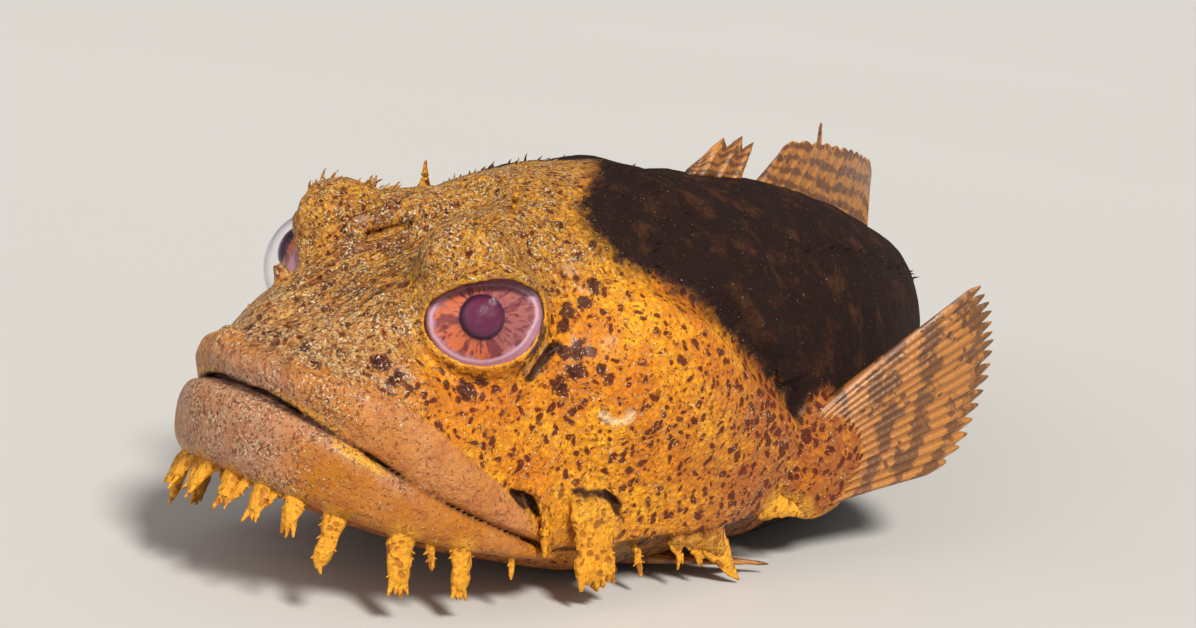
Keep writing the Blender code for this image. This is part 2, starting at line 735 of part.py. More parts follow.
def gill_cover(name):
    """The left gill cover: a plate of skin over bone, with two spines at its rear edge and flaps below."""
    left = common(gill_region(name), box("left", (0, -80 * MM, -20 * MM), (200 * MM, -1 * MM, 90 * MM)))
    pieces = [cut(left, trunk_solid("trunk_clear", GAP)), *cover_edges()]
    return cut(join(name, pieces), trunk_solid("trunk_clear", GAP), box("throat", (0, -90 * MM, -5 * MM),
                                                                          (CHEEK_CUT + GAP / 2, 0, 90 * MM)))


def brow(name, side):
    """The ridge over the eye."""
    along = Vector((0.95, side * 0.1, 0.25)).normalized()
    out = Vector((0, side, -0.15))
    out = (out - along * out.dot(along)).normalized()
    return ellipsoid(name, Vector((33, side * 16, 54)) * MM, (13 * MM, 8 * MM, 5.5 * MM),
                     (along, out, along.cross(out)), 14, 8)


def eye_mound(name, side):
    """The swelling of the head that holds the eye."""
    centre = EYE_CENTRE - EYE_AXIS * 4.5 * MM
    return ellipsoid(name, Vector((centre.x, -side * centre.y, centre.z)), (11.6 * MM,) * 3, None, 16, 10)


def head(name):
    """Skull, cheeks and snout, with brows, lids, nostrils and crown flaps, cut clear of lips, jaw and eyes."""
    form = common(head_solid(name), box("front", (-30 * MM, -80 * MM, -20 * MM),
                                        (CHEEK_CUT - GAP / 2, 80 * MM, 90 * MM)))
    pieces = [form]
    for side in (-1, 1):
        pieces += [brow(f"brow_{side}", side), eye_mound(f"eye_mound_{side}", side)]
    left = [lid_solid("lid"),
            nostril("nostril_front", (5, -8.5, 38.6), (-0.6, -0.3, 0.8), 1.4 * MM, 0.9 * MM),
            nostril("nostril_rear", (17, -13, 46.3), (-0.25, -0.4, 0.9), 0.8 * MM, 1.0 * MM)]
    left += flaps("crown_flap", CROWN_FLAPS, 0.5)
    left += flaps("cheek_flap", (CHEEK_FLAP,), 0.28, Vector((0, 0, 0)), 3 * MM)
    joined = join(name, pieces + both_sides(left))
    return cut(joined, jaw_region(GAP), upper_lip("upper_clear", GAP), lower_lip("lower_clear", GAP),
               eye_solid("eye_clear", GAP), mirrored_eye(GAP))


def mirrored_eye(grow):
    left = eye_solid("eye_left_form", grow)
    right = mirrored(left, "eye_right_form")
    bpy.data.objects.remove(left)
    return right


def lower_jaw(name):
    """The chin and floor of the mouth inside the lower lip."""
    form = common(body_solid(name, spread(2 * MM, CHEEK_CUT, 14, 1.3), head_core_width), jaw_region(0.0))
    return cut(form, lower_lip("lower_clear", GAP), upper_lip("upper_clear", GAP))


# The trunk and tail

def trunk_part(name, low, high):
    return common(trunk_solid(name), box("stretch", (low + GAP / 2, -80 * MM, -20 * MM),
                                         (high - GAP / 2, 80 * MM, 90 * MM)))


# The pose

def heading(s):
    """How far the midline has turned at distance s from the snout."""
    return (BEND_ANGLE * smooth_step(s, BEND_START, BEND_END)
            - TAIL_RETURN * smooth_step(s, TAIL_RETURN_START, TAIL_RETURN_END))


def midline_table(step=0.5 * MM, longest=330 * MM):
    distances = np.arange(-10 * MM, longest, step)
    turns = np.array([heading(s) for s in distances])
    x = np.concatenate([[0], np.cumsum(np.cos((turns[1:] + turns[:-1]) / 2) * step)]) + distances[0]
    y = np.concatenate([[0], np.cumsum(np.sin((turns[1:] + turns[:-1]) / 2) * step)])
    return distances, x, y


def bend_object(obj, table):
    """Moves each point of the straight fish to its place beside the bent midline."""
    distances, mid_x, mid_y = table
    for vert in obj.data.vertices:
        s, y, z = vert.co
        turn = heading(s)
        x0 = np.interp(s, distances, mid_x)
        y0 = np.interp(s, distances, mid_y)
        vert.co = (x0 - y * math.sin(turn), y0 + y * math.cos(turn), z)


def flatten_on_floor(obj):
    if min(vert.co.z for vert in obj.data.vertices) < 0:
        cut(obj, box("floor", (-0.5, -0.5, -0.1), (0.5, 0.5, 0)))


def centre_all(objects):
    """Sets the origin under the middle of the fish, on the floor."""
    points = [vert.co for obj in objects for vert in obj.data.vertices]
    middle = [(min(p[k] for p in points) + max(p[k] for p in points)) / 2 for k in (0, 1)]
    for obj in objects:
        obj.data.transform(Matrix.Translation((-middle[0], -middle[1], 0)))


def finish(obj, colour, roughness):
    """Gives a node its material and smooth shading, and moves it to the fish's own collection."""
    material = bpy.data.materials.new(obj.name + "_finish")
    material.use_nodes = True
    shader = material.node_tree.nodes["Principled BSDF"]
    shader.inputs["Base Color"].default_value = colour
    shader.inputs["Roughness"].default_value = roughness
    shader.inputs["Metallic"].default_value = 0.0
    obj.data.materials.clear()
    obj.data.materials.append(material)
    obj.data.shade_smooth()
    obj.data.set_sharp_from_angle(angle=math.radians(35))
    workshop.objects.unlink(obj)
    fish.objects.link(obj)


def build():
    """Every node of the fish, with its colour."""
    soft_cut = (SOFT_DORSAL[0] + SOFT_DORSAL[1]) / 2
    anal_cut = (ANAL[0] + ANAL[1]) / 2
    nodes = [
        (head("head"), SKIN), (upper_lip("upper_lip"), LIP), (lower_lip("lower_lip"), LIP),
        (lower_jaw("lower_jaw"), SKIN), (eye_solid("eye_left"), EYE), (gill_cover("gill_cover_left"), SKIN),
        (trunk_part("trunk", CHEEK_CUT, TAIL_CUTS[0]), SKIN), (trunk_part("tail_front", *TAIL_CUTS), SKIN),
        (trunk_part("tail_stalk", TAIL_CUTS[1], STANDARD_LENGTH + 2 * MM), SKIN),
        (spiny_dorsal("spiny_dorsal_fin"), FIN),
        (dorsal_part("soft_dorsal_front", SOFT_DORSAL[0], soft_cut - GAP, SOFT_DORSAL_RAYS // 2), FIN),
        (dorsal_part("soft_dorsal_rear", soft_cut + GAP, SOFT_DORSAL[1], SOFT_DORSAL_RAYS // 2), FIN),
        (anal_part("anal_fin_front", ANAL[0], anal_cut - GAP, ANAL_RAYS // 2), FIN),
        (anal_part("anal_fin_rear", anal_cut + GAP, ANAL[1], ANAL_RAYS // 2), FIN),
        (caudal_fin("caudal_fin"), FIN), (pectoral_fin("pectoral_fin_left"), FIN),
        (pelvic_fin("pelvic_fin_left"), FIN)]
    for obj, colour in list(nodes):
        if obj.name.endswith("_left"):
            nodes.append((mirrored(obj, obj.name.replace("_left", "_right")), colour))
    return nodes


bpy.context.preferences.edit.use_global_undo = False
for old in list(bpy.data.objects):
    bpy.data.objects.remove(old)
workshop = collection_named("workshop")
fish = collection_named("toadfish")
parts = build()
midline = midline_table()
for node, tint in parts:
    bend_object(node, midline)
    flatten_on_floor(node)
centre_all([node for node, tint in parts])
for node, tint in parts:
    finish(node, tint, 0.25 if node.name.startswith("eye") else 0.55)
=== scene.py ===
"""A life-size toadfish at rest on the floor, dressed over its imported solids.

The skin is shaped in the fish's straight frame, in millimetres: X runs from the upper lip to the tail, the
left side is at -Y and the floor is Z = 0. It is then bent along the same midline as the solids and set in
their place. Fins, fringe and eyes are made in the same frame and bent with it.
"""

import logging
import math
from collections.abc import Callable, Sequence
from dataclasses import dataclass, field
from enum import Enum

import bpy
import numpy as np
import openvdb
from mathutils import Matrix, Vector


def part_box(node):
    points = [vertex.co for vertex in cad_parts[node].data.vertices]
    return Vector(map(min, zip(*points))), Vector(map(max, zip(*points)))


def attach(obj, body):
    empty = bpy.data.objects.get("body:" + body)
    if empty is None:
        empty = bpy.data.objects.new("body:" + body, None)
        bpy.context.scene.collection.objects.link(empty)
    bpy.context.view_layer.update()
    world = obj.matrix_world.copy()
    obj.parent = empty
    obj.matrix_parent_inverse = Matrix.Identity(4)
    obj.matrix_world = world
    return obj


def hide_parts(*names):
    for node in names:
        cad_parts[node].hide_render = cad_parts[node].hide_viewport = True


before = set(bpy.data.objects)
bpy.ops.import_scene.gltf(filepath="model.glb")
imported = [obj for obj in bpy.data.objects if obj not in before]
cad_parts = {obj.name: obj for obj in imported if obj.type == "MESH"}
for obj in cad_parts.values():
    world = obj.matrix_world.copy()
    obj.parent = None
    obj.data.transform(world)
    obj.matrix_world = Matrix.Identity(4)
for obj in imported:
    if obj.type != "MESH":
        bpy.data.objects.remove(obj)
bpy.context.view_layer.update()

log = logging.getLogger("toadfish")

MM = 0.001

Array = np.ndarray
Form = Callable[[Array, Array, Array], Array]
Bounds = tuple[tuple[float, float], tuple[float, float], tuple[float, float]]
Colour = tuple[float, float, float, float]
Piece = bpy.types.Object
Socket = bpy.types.NodeSocket


class Side(Enum):
    """The fish's two sides, as the sign of Y."""

    LEFT = -1
    RIGHT = 1


# Curves and small sums


def ramp(value: Array, low: float, high: float) -> Array:
    """0 below low, 1 above high and a smooth rise between; falls instead where high is under low."""
    share = np.clip((np.asarray(value, float) - low) / (high - low), 0.0, 1.0)
    return share * share * (3 - 2 * share)


def hump(value: Array, start: float, full: float, fade: float, end: float) -> Array:
    """A smooth rise from 0 at start to 1 at full, and a smooth fall from fade to 0 at end."""
    return ramp(value, start, full) * ramp(value, end, fade)


def unit(vectors: Sequence[float]) -> Array:
    """The vector, or each row of vectors, at length one."""
    made = np.asarray(vectors, float)
    return made / np.maximum(np.linalg.norm(made, axis=-1, keepdims=True), 1e-9)


def inside_out(points: Array, triangles: Array) -> bool:
    """Whether a closed surface's triangles face inwards."""
    a, b, c = (points[triangles[:, k]] - points.mean(0) for k in range(3))
    return bool(np.einsum("ij,ij->i", a, np.cross(b, c)).sum() < 0)


def tube_faces(rings: int, around: int) -> Array:
    """Triangles of a closed tube, whose points are one end, then each ring, then the other end."""
    j = np.arange(around)
    k = (j + 1) % around
    first = 1 + around * np.arange(rings)[:, None]
    a, b = first[:-1] + j, first[:-1] + k
    sides = np.stack([a, b, b + around, a, b + around, a + around], -1).reshape(-1, 3)
    start = np.stack([0 * j, 1 + k, 1 + j], 1)
    end = np.stack([0 * j + 1 + rings * around, first[-1] + j, first[-1] + k], 1)
    return np.concatenate([sides, start, end])


def soft_min(a: Array, b: Array, blend: float | Array) -> Array:
    """The smaller of two distances, with a fillet about as wide as blend."""
    width = np.maximum(blend, 1e-6)
    share = np.maximum(width - np.abs(a - b), 0.0) / width
    return np.minimum(a, b) - share * share * width * 0.25


def soft_max(a: Array, b: Array, blend: float | Array) -> Array:
    """The larger of two distances, rounded about as wide as blend."""
    return -soft_min(-a, -b, blend)


@dataclass(frozen=True)
class Profile:
    """A smooth curve through points, flat beyond its ends and never past its points between them."""

    points: tuple[tuple[float, float], ...]

    def at(self, x: Array) -> Array:
        """Reads the curve.

        Args:
            x: places along it.

        Returns:
            The curve's value at each place.
        """
        px, py = np.array(self.points, float).T
        rises = np.diff(py) / np.diff(px)
        slope = np.concatenate([rises[:1], np.zeros(len(px) - 2), rises[-1:]])
        before, after = rises[:-1], rises[1:]
        same_way = before * after > 0
        total = np.where(same_way, before + after, 1.0)
        slope[1:-1] = np.where(same_way, 2 * before * after / total, 0.0)
        x = np.clip(x, px[0], px[-1])
        k = np.clip(np.searchsorted(px, x, side="right") - 1, 0, len(px) - 2)
        width = px[k + 1] - px[k]
        t = (x - px[k]) / width
        return ((1 + 2 * t) * (1 - t) ** 2 * py[k] + t * (1 - t) ** 2 * width * slope[k]
                + t * t * (3 - 2 * t) * py[k + 1] + t * t * (t - 1) * width * slope[k + 1])


@dataclass(frozen=True)
class Roughcast:
    """Smooth random relief over space, from -1 to 1, the same at every run."""

    seed: int
    size: float
    repeat: int = 64

    def at(self, x: Array, y: Array, z: Array) -> Array:
        """Reads the relief.

        Args:
            x: X of each point, in millimetres.
            y: Y of each point.
            z: Z of each point.

        Returns:
            The relief's height at each point.
        """
        table = np.random.default_rng(self.seed).uniform(-1, 1, (self.repeat,) * 3).astype(np.float32)
        cells, shares = [], []
        for axis in (x, y, z):
            scaled = np.asarray(axis, float) / self.size + 1000
            low = np.floor(scaled).astype(int)
            t = (scaled - low).astype(np.float32)
            cells.append(low)
            shares.append(t * t * (3 - 2 * t))
        total = np.float32(0)
        for corner in range(8):
            weight = np.float32(1)
            place = []
            for axis in range(3):
                bit = corner >> axis & 1
                weight = weight * (shares[axis] if bit else 1 - shares[axis])
                place.append((cells[axis] + bit) % self.repeat)
            total = total + weight * table[tuple(place)]
        return total


@dataclass(frozen=True)
class Midline:
    """The bent line that the straight fish is laid along."""

    bend_start: float = 88
    bend_end: float = 250
    bend_angle: float = math.radians(52)
    return_start: float = 215
    return_end: float = 298
    return_angle: float = math.radians(14)
    eye_centre: tuple[float, float, float] = (31, -19, 45)

    def heading(self, s: Array) -> Array:
        """How far the line has turned at each distance from the snout."""
        return (self.bend_angle * ramp(s, self.bend_start, self.bend_end)
                - self.return_angle * ramp(s, self.return_start, self.return_end))

    def shift(self) -> Array:
        """The step from the fish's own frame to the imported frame, in millimetres, read from the left eye."""
        low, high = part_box("eye_left")
        middle = np.array((low + high) / 2) / MM
        return np.array([middle[0] - self.eye_centre[0], middle[1] - self.eye_centre[1], 0.0])

    def place(self, points: Array) -> Array:
        """Bends points with the fish.

        Args:
            points: rows of X, Y and Z in the straight frame, in millimetres.

        Returns:
            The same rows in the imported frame, in metres.
        """
        step = 0.5
        distances = np.arange(-10, 330, step)
        turns = self.heading(distances)
        middles = (turns[1:] + turns[:-1]) / 2
        line_x = np.concatenate([[0], np.cumsum(np.cos(middles) * step)]) + distances[0]
        line_y = np.concatenate([[0], np.cumsum(np.sin(middles) * step)])
        s, y, z = np.asarray(points, float).T
        turn = self.heading(s)
        x0 = np.interp(s, distances, line_x)
        y0 = np.interp(s, distances, line_y)
        bent = np.stack([x0 - y * np.sin(turn), y0 + y * np.cos(turn), z], axis=1)
        return (bent + self.shift()) * MM


MIDLINE = Midline()


# Forms, each a function of X, Y and Z that gives a distance in millimetres, below zero inside


def ball_form(centre: Sequence[float], radii: Sequence[float],
              axes: Sequence[Sequence[float]] | None = None) -> Form:
    """A stretched ball.

    Args:
        centre: its middle.
        radii: its three half lengths.
        axes: the directions of those lengths, at right angles, or None for X, Y and Z.

    Returns:
        The form.
    """
    turned = np.array(axes if axes is not None else np.eye(3), float)

    def distance(x: Array, y: Array, z: Array) -> Array:
        """The distance to the ball's surface."""
        dx, dy, dz = x - centre[0], y - centre[1], z - centre[2]
        parts = [(dx * a[0] + dy * a[1] + dz * a[2]) / r for a, r in zip(turned, radii)]
        near = np.sqrt(sum(p * p for p in parts)) + 1e-6
        steep = np.sqrt(sum((p / r) ** 2 for p, r in zip(parts, radii))) + 1e-6
        return near * (near - 1) / steep

    return distance


def strand_form(points: Sequence[Sequence[float]], radii: Sequence[float], flat: float = 1.0,
                across: Sequence[float] = (0, 1, 0)) -> Form:
    """A tapering strand along a line of points.

    Args:
        points: the line.
        radii: the strand's radius at each point.
        flat: how thick it is along across, as a share of its radius.
        across: the direction in which it is flattened.

    Returns:
        The form.
    """
    thin = unit(across)

    def distance(x: Array, y: Array, z: Array) -> Array:
        """The distance to the strand's surface."""
        best = None
        for (a, b), (ra, rb) in zip(zip(points, points[1:]), zip(radii, radii[1:])):
            start, run = np.array(a, float), np.array(b, float) - np.array(a, float)
            dx, dy, dz = x - start[0], y - start[1], z - start[2]
            t = np.clip((dx * run[0] + dy * run[1] + dz * run[2]) / (run @ run), 0, 1)
            dx, dy, dz = dx - t * run[0], dy - t * run[1], dz - t * run[2]
            side = dx * thin[0] + dy * thin[1] + dz * thin[2]
            square = dx * dx + dy * dy + dz * dz + side * side * (1 / flat ** 2 - 1)
            here = np.sqrt(np.maximum(square, 0)) - (ra + t * (rb - ra))
            best = here if best is None else np.minimum(best, here)
        return best

    return distance


def bounds_of(points: Sequence[Sequence[float]], margin: float) -> Bounds:
    """The box round points, grown by margin."""
    low, high = np.min(points, axis=0) - margin, np.max(points, axis=0) + margin
    return tuple((float(a), float(b)) for a, b in zip(low, high))


EMPTY = 40.0


@dataclass
class Clay:
    """A block of distances, in millimetres, over the fish or its left half, finer at the head."""

    x: Array
    y: Array
    z: Array
    depth: Array = field(init=False)

    def __post_init__(self) -> None:
        """Fills the block with empty space."""
        self.depth = np.full((len(self.x), len(self.y), len(self.z)), EMPTY, np.float32)

    def _window(self, bounds: Bounds | None) -> tuple[tuple[slice, ...], list[Array]]:
        """The part of the block inside bounds, and its three axes ready to spread over it."""
        cuts, axes = [], []
        for number, axis in enumerate((self.x, self.y, self.z)):
            low, high = bounds[number] if bounds else (axis[0], axis[-1])
            cut = slice(int(np.searchsorted(axis, low)), int(np.searchsorted(axis, high, side="right")))
            cuts.append(cut)
            shape = [1, 1, 1]
            shape[number] = -1
            axes.append(axis[cut].reshape(shape))
        return tuple(cuts), axes

    def add(self, form: Form, blend: float | Form = 0.0, bounds: Bounds | None = None) -> None:
        """Joins a form to the clay, with a fillet whose width may vary over space."""
        cut, axes = self._window(bounds)
        width = blend(*axes) if callable(blend) else blend
        self.depth[cut] = soft_min(self.depth[cut], form(*axes), width)

    def take(self, form: Form, blend: float = 0.0, bounds: Bounds | None = None) -> None:
        """Cuts a form out of the clay, with rounded edges."""
        cut, axes = self._window(bounds)
        self.depth[cut] = soft_max(self.depth[cut], -form(*axes), blend)

    def swell(self, relief: Form, reach: float = 2.5) -> None:
        """Raises the surface by a relief given in millimetres.

        Args:
            relief: the height to add at each point.
            reach: how near the surface a point must be to be moved.
        """
        near = np.nonzero(np.abs(self.depth) < reach)
        self.depth[near] -= relief(self.x[near[0]], self.y[near[1]], self.z[near[2]])

    def meet(self, spot: Sequence[float], way: Sequence[float]) -> Array:
        """The point where a line through spot, followed inwards against way, first meets the clay."""
        line = np.array(spot) + unit(way) * np.arange(6, -6, -0.1)[:, None]
        index = (np.clip(np.searchsorted(axis, line[:, k]), 0, len(axis) - 1)
                 for k, axis in enumerate((self.x, self.y, self.z)))
        return line[np.argmax(self.depth[tuple(index)] < 0)]

    def mirrored(self) -> "Clay":
        """The clay with both halves of the fish."""
        whole = Clay(self.x, np.concatenate([self.y, -self.y[-2::-1]]), self.z)
        whole.depth = np.concatenate([self.depth, self.depth[:, -2::-1, :]], axis=1)
        return whole

    def surface(self) -> tuple[Array, Array]:
        """The clay's skin.

        Returns:
            Points in millimetres, and triangles facing outwards.
        """
        grid = openvdb.FloatGrid(EMPTY)
        grid.copyFromArray(np.ascontiguousarray(self.depth, np.float32))
        points, triangles, quads = grid.convertToPolygons(isovalue=0.0, adaptivity=0.0)
        faces = np.concatenate([np.asarray(triangles).reshape(-1, 3), np.asarray(quads)[:, [0, 1, 2]],
                                np.asarray(quads)[:, [0, 2, 3]]]).astype(int)
        spots = np.stack([np.interp(points[:, k], np.arange(len(axis)), axis)
                          for k, axis in enumerate((self.x, self.y, self.z))], axis=1)
        return spots, faces[:, ::-1] if inside_out(spots, faces) else faces


# The body's outer form


@dataclass(frozen=True)
class BodyForm:
    """The fish's rounded outline from snout to tail, each section with its own upper and lower roundness."""

    top: Profile = Profile(((0, 34.0), (5, 38.1), (10, 42.4), (20, 48.8), (30, 53.3), (40, 57.6), (52, 61.2),
                            (66, 63.4), (90, 64.4), (118, 62.2), (150, 55), (190, 46), (220, 41), (252, 39)))
    belly: Profile = Profile(((0, 19), (10, 13.5), (20, 9.5), (30, 6.2), (40, 3.6), (50, 1), (62, -1.5),
                              (130, -1.5), (148, 1), (170, 8), (200, 14.5), (230, 18.5), (252, 20.5)))
    widest: Profile = Profile(((0, 28), (20, 22), (45, 19), (70, 22), (95, 27), (150, 26), (200, 28),
                               (252, 29.7)))
    head_width: Profile = Profile(((46, 31.5), (60, 34), (82, 36.5), (94, 36)))
    trunk_width: Profile = Profile(((46, 27), (60, 30.5), (80, 32.5), (100, 32.5), (120, 29.5), (150, 22),
                                    (180, 15), (210, 10), (240, 6), (252, 4.4)))
    upper_round: Profile = Profile(((0, 2.2), (30, 2.45), (60, 2.2), (95, 2.15), (150, 2.1), (252, 2.0)))
    lower_round: Profile = Profile(((0, 3.6), (40, 3.2), (95, 2.7), (150, 2.3), (252, 2.0)))
    gape_length: float = 46
    mouth_half_width: float = 31.5
    mouth_roundness: float = 2.3
    lip_inset: float = 2.0
    trunk_start: float = 52
    trunk_end: float = 252.5

    def mouth_width_at(self, x: Array) -> Array:
        """Half the width of the rounded front of the head."""
        share = np.clip(1 - x / self.gape_length, 0, 1)
        return self.mouth_half_width * (1 - share ** self.mouth_roundness) ** (1 / self.mouth_roundness)

    def head_width_at(self, x: Array) -> Array:
        """Half the width of the head behind and under the lips."""
        full = np.where(x < self.gape_length, self.mouth_width_at(x), self.head_width.at(x))
        inset = self.lip_inset * (1 - ramp(x, 0.8 * self.gape_length, 1.15 * self.gape_length))
        return np.maximum(3.0, full - inset)

    def section(self, x: Array, y: Array, z: Array, width: Array, grow: Array | float = 0.0) -> Array:
        """Distance to the rounded outline at each X.

        Args:
            x: X of each point.
            y: Y of each point.
            z: Z of each point.
            width: the outline's half width there.
            grow: how much larger it is drawn.

        Returns:
            The distance, below zero inside.
        """
        middle = self.widest.at(x)
        upper = z > middle
        reach = np.where(upper, self.top.at(x) - middle, middle - self.belly.at(x)) + grow
        power = np.where(upper, self.upper_round.at(x), self.lower_round.at(x))
        wide = width + grow
        across, tall = np.abs(y) / wide, np.abs(z - middle) / reach
        whole = np.maximum((across ** power + tall ** power) ** (1 / power), 1e-3)
        steep_y = (across / whole) ** (power - 1) / wide
        steep_z = (tall / whole) ** (power - 1) / reach
        return (whole - 1) / np.sqrt(steep_y ** 2 + steep_z ** 2)

    def trunk(self, x: Array, y: Array, z: Array) -> Array:
        """The trunk and tail, from inside the head to the root of the tail fin."""
        body = self.section(x, y, z, self.trunk_width.at(x))
        ends = np.maximum(self.trunk_start - x, x - self.trunk_end)
        return soft_max(body, ends, 1.5)


BODY = BodyForm()


@dataclass(frozen=True)
class GillCover:
    """The rounded rear edge of the head, with the folds of skin that hang under it."""

    centre: tuple[float, float] = (62, 29)
    radii: tuple[float, float] = (33, 39)
    lower_edge: Profile = Profile(((50, 9.0), (60, 10.0), (75, 10.2), (85, 10.6), (92, 12.5)))
    fold_edge: Profile = Profile(((54, 5.0), (66, 5.8), (80, 6.2), (92, 8.0)))
    fold_step: float = 1.8
    under_step: float = 1.3

    def rear(self, x: Array, z: Array) -> Array:
        """Distance behind the rounded rear edge, seen from the side."""
        u, v = np.maximum(x - self.centre[0], 0) / self.radii[0], (z - self.centre[1]) / self.radii[1]
        near = np.sqrt(u * u + v * v) + 1e-6
        steep = np.sqrt((u / self.radii[0]) ** 2 + (v / self.radii[1]) ** 2) + 1e-6
        return np.where(x > self.centre[0], near * (near - 1) / steep, -20.0)

    def hang(self, x: Array, z: Array) -> Array:
        """How far the skin steps in below the cover's lower edge and again below the fold."""
        behind = ramp(x, 52, 60)
        first = ramp(self.lower_edge.at(x) - z, -0.3, 0.6)
        second = ramp(self.fold_edge.at(x) - z, -0.3, 0.6)
        return behind * (self.fold_step * first + self.under_step * second)


COVER = GillCover()


def head_form(x: Array, y: Array, z: Array) -> Array:
    """The head under its lips: skull, cheeks, gill covers and chin."""
    grow = -COVER.hang(x, z)
    core = BODY.section(x, y, z, BODY.head_width_at(x), grow)
    # Where core is infinite, in 18 cells before the snout, the products with zero leave no number
    front = soft_max(core, 2.4 - x + 0 * core, 5.0)
    return soft_max(front, COVER.rear(x, z) + 0 * core, 1.2)


def body_form(x: Array, y: Array, z: Array) -> Array:
    """The head on its trunk: a free edge at the gill cover's side, and one smooth back over the nape."""
    high = ramp(z, 40, 58)
    return soft_min(head_form(x, y, z), BODY.trunk(x, y, z), 0.7 + 9 * high)


@dataclass(frozen=True)
class Lip:
    """A band of skin round the mouth between two heights."""

    top: Profile
    low: Profile
    thick: Profile
    forward: float = 0.0
    inset: float = 3.0
    reach: float = 0.985
    steps: int = 180

    def path(self) -> dict[str, Array]:
        """The band's middle line over the left half of the mouth, from the front to the corner.

        Returns:
            Its places, outward directions and half sizes, by name.
        """
        angle = np.linspace(0, self.reach * math.pi / 2, self.steps)
        power = 2 / BODY.mouth_roundness
        x = self.inset + (BODY.gape_length - self.inset) * (1 - np.cos(angle) ** power)
        y = -(BODY.mouth_half_width - self.inset) * np.sin(angle) ** power
        x = x - self.forward * (1 - x / BODY.gape_length)
        along_x, along_y = np.gradient(x), np.gradient(y)
        size = np.hypot(along_x, along_y)
        out_x, out_y = along_y / size, -along_x / size
        taper = np.sqrt(np.clip(1 - (angle / (self.reach * math.pi / 2)) ** 12, 0.05, 1))
        top, low = self.top.at(x), self.low.at(x)
        return {"x": x, "y": y, "out_x": out_x, "out_y": out_y, "middle": (top + low) / 2,
                "tall": (top - low) / 2 * taper, "thick": self.thick.at(x) * taper}

    def reading(self, x: Array, y: Array) -> dict[str, Array]:
        """The path's values nearest to each point in plan, with how far outward the point lies.

        Args:
            x: X of each point.
            y: Y of each point.

        Returns:
            The path's values at the point nearest to each, and "outward" and "share" along it.
        """
        line = self.path()
        y = -np.abs(y)
        x, y = np.broadcast_arrays(x, y)
        dx, dy = x[..., None] - line["x"], y[..., None] - line["y"]
        k = np.argmin(dx * dx + dy * dy, axis=-1)
        near = np.clip(k, 1, self.steps - 2)
        run_x, run_y = (line[n][near + 1] - line[n][near - 1] for n in ("x", "y"))
        rest_x, rest_y = x - line["x"][near], y - line["y"][near]
        along = near + 2 * (rest_x * run_x + rest_y * run_y) / (run_x ** 2 + run_y ** 2)
        along = np.clip(along, 0, self.steps - 1)
        values = {name: np.interp(along, np.arange(self.steps), row) for name, row in line.items()}
        beyond = np.hypot(x - values["x"], y - values["y"])
        values["outward"] = (x - values["x"]) * values["out_x"] + (y - values["y"]) * values["out_y"]
        values["side"] = np.sqrt(np.maximum(beyond ** 2 - values["outward"] ** 2, 0))
        values["share"] = along / (self.steps - 1)
        return values

    def form(self, x: Array, y: Array, z: Array) -> Array:
        """Distance to the band's rounded surface."""
        v = self.reading(x, y)
        power = 2.5
        across = np.hypot(v["outward"], v["side"]) / v["thick"]
        tall = np.abs(z - v["middle"]) / v["tall"]
        whole = np.maximum((across ** power + tall ** power) ** (1 / power), 1e-3)
        steep = np.hypot((across / whole) ** (power - 1) / v["thick"],
                         (tall / whole) ** (power - 1) / v["tall"])
        return (whole - 1) / steep


MOUTH_LINE = Profile(((-3, 34.5), (0, 32.5), (10, 25.7), (20, 19.4), (30, 14.6), (46, 8.4), (54, 6)))
UPPER_LIP = Lip(
    top=Profile(((0, 34.8), (2, 35.6), (6, 36.2), (12, 34.4), (20, 29.1), (30, 21.4), (40, 13.8), (46, 9.9))),
    low=MOUTH_LINE, thick=Profile(((0, 2.2), (10, 2.8), (46, 2.1))))
LOWER_LIP = Lip(
    top=MOUTH_LINE,
    low=Profile(((-3, 20.3), (2, 18.4), (6, 16.5), (12, 14.3), (20, 12.0), (30, 9.9), (40, 7.6), (46, 6.1))),
    thick=Profile(((-3, 3.8), (46, 2))), forward=3.0)


def mouth_slit(x: Array, y: Array, z: Array) -> Array:
    """The narrow gap between the lips, a little wider along the side of the mouth."""
    v = LOWER_LIP.reading(x, y)
    height = MOUTH_LINE.at(v["x"])
    side, front = np.exp(-((v["share"] - 0.43) / 0.09) ** 2), np.exp(-(v["share"] / 0.2) ** 2)
    gape = 0.15 + 0.26 * side + 0.30 * front
    inner = np.hypot(v["outward"], v["side"])
    depth = np.where(v["outward"] > -1.5, 0.0, inner - 1.5)
    corner = ramp(v["share"], 0.97, 1.0) * 1.5
    return np.maximum(np.abs(z - height) - gape + corner, depth)


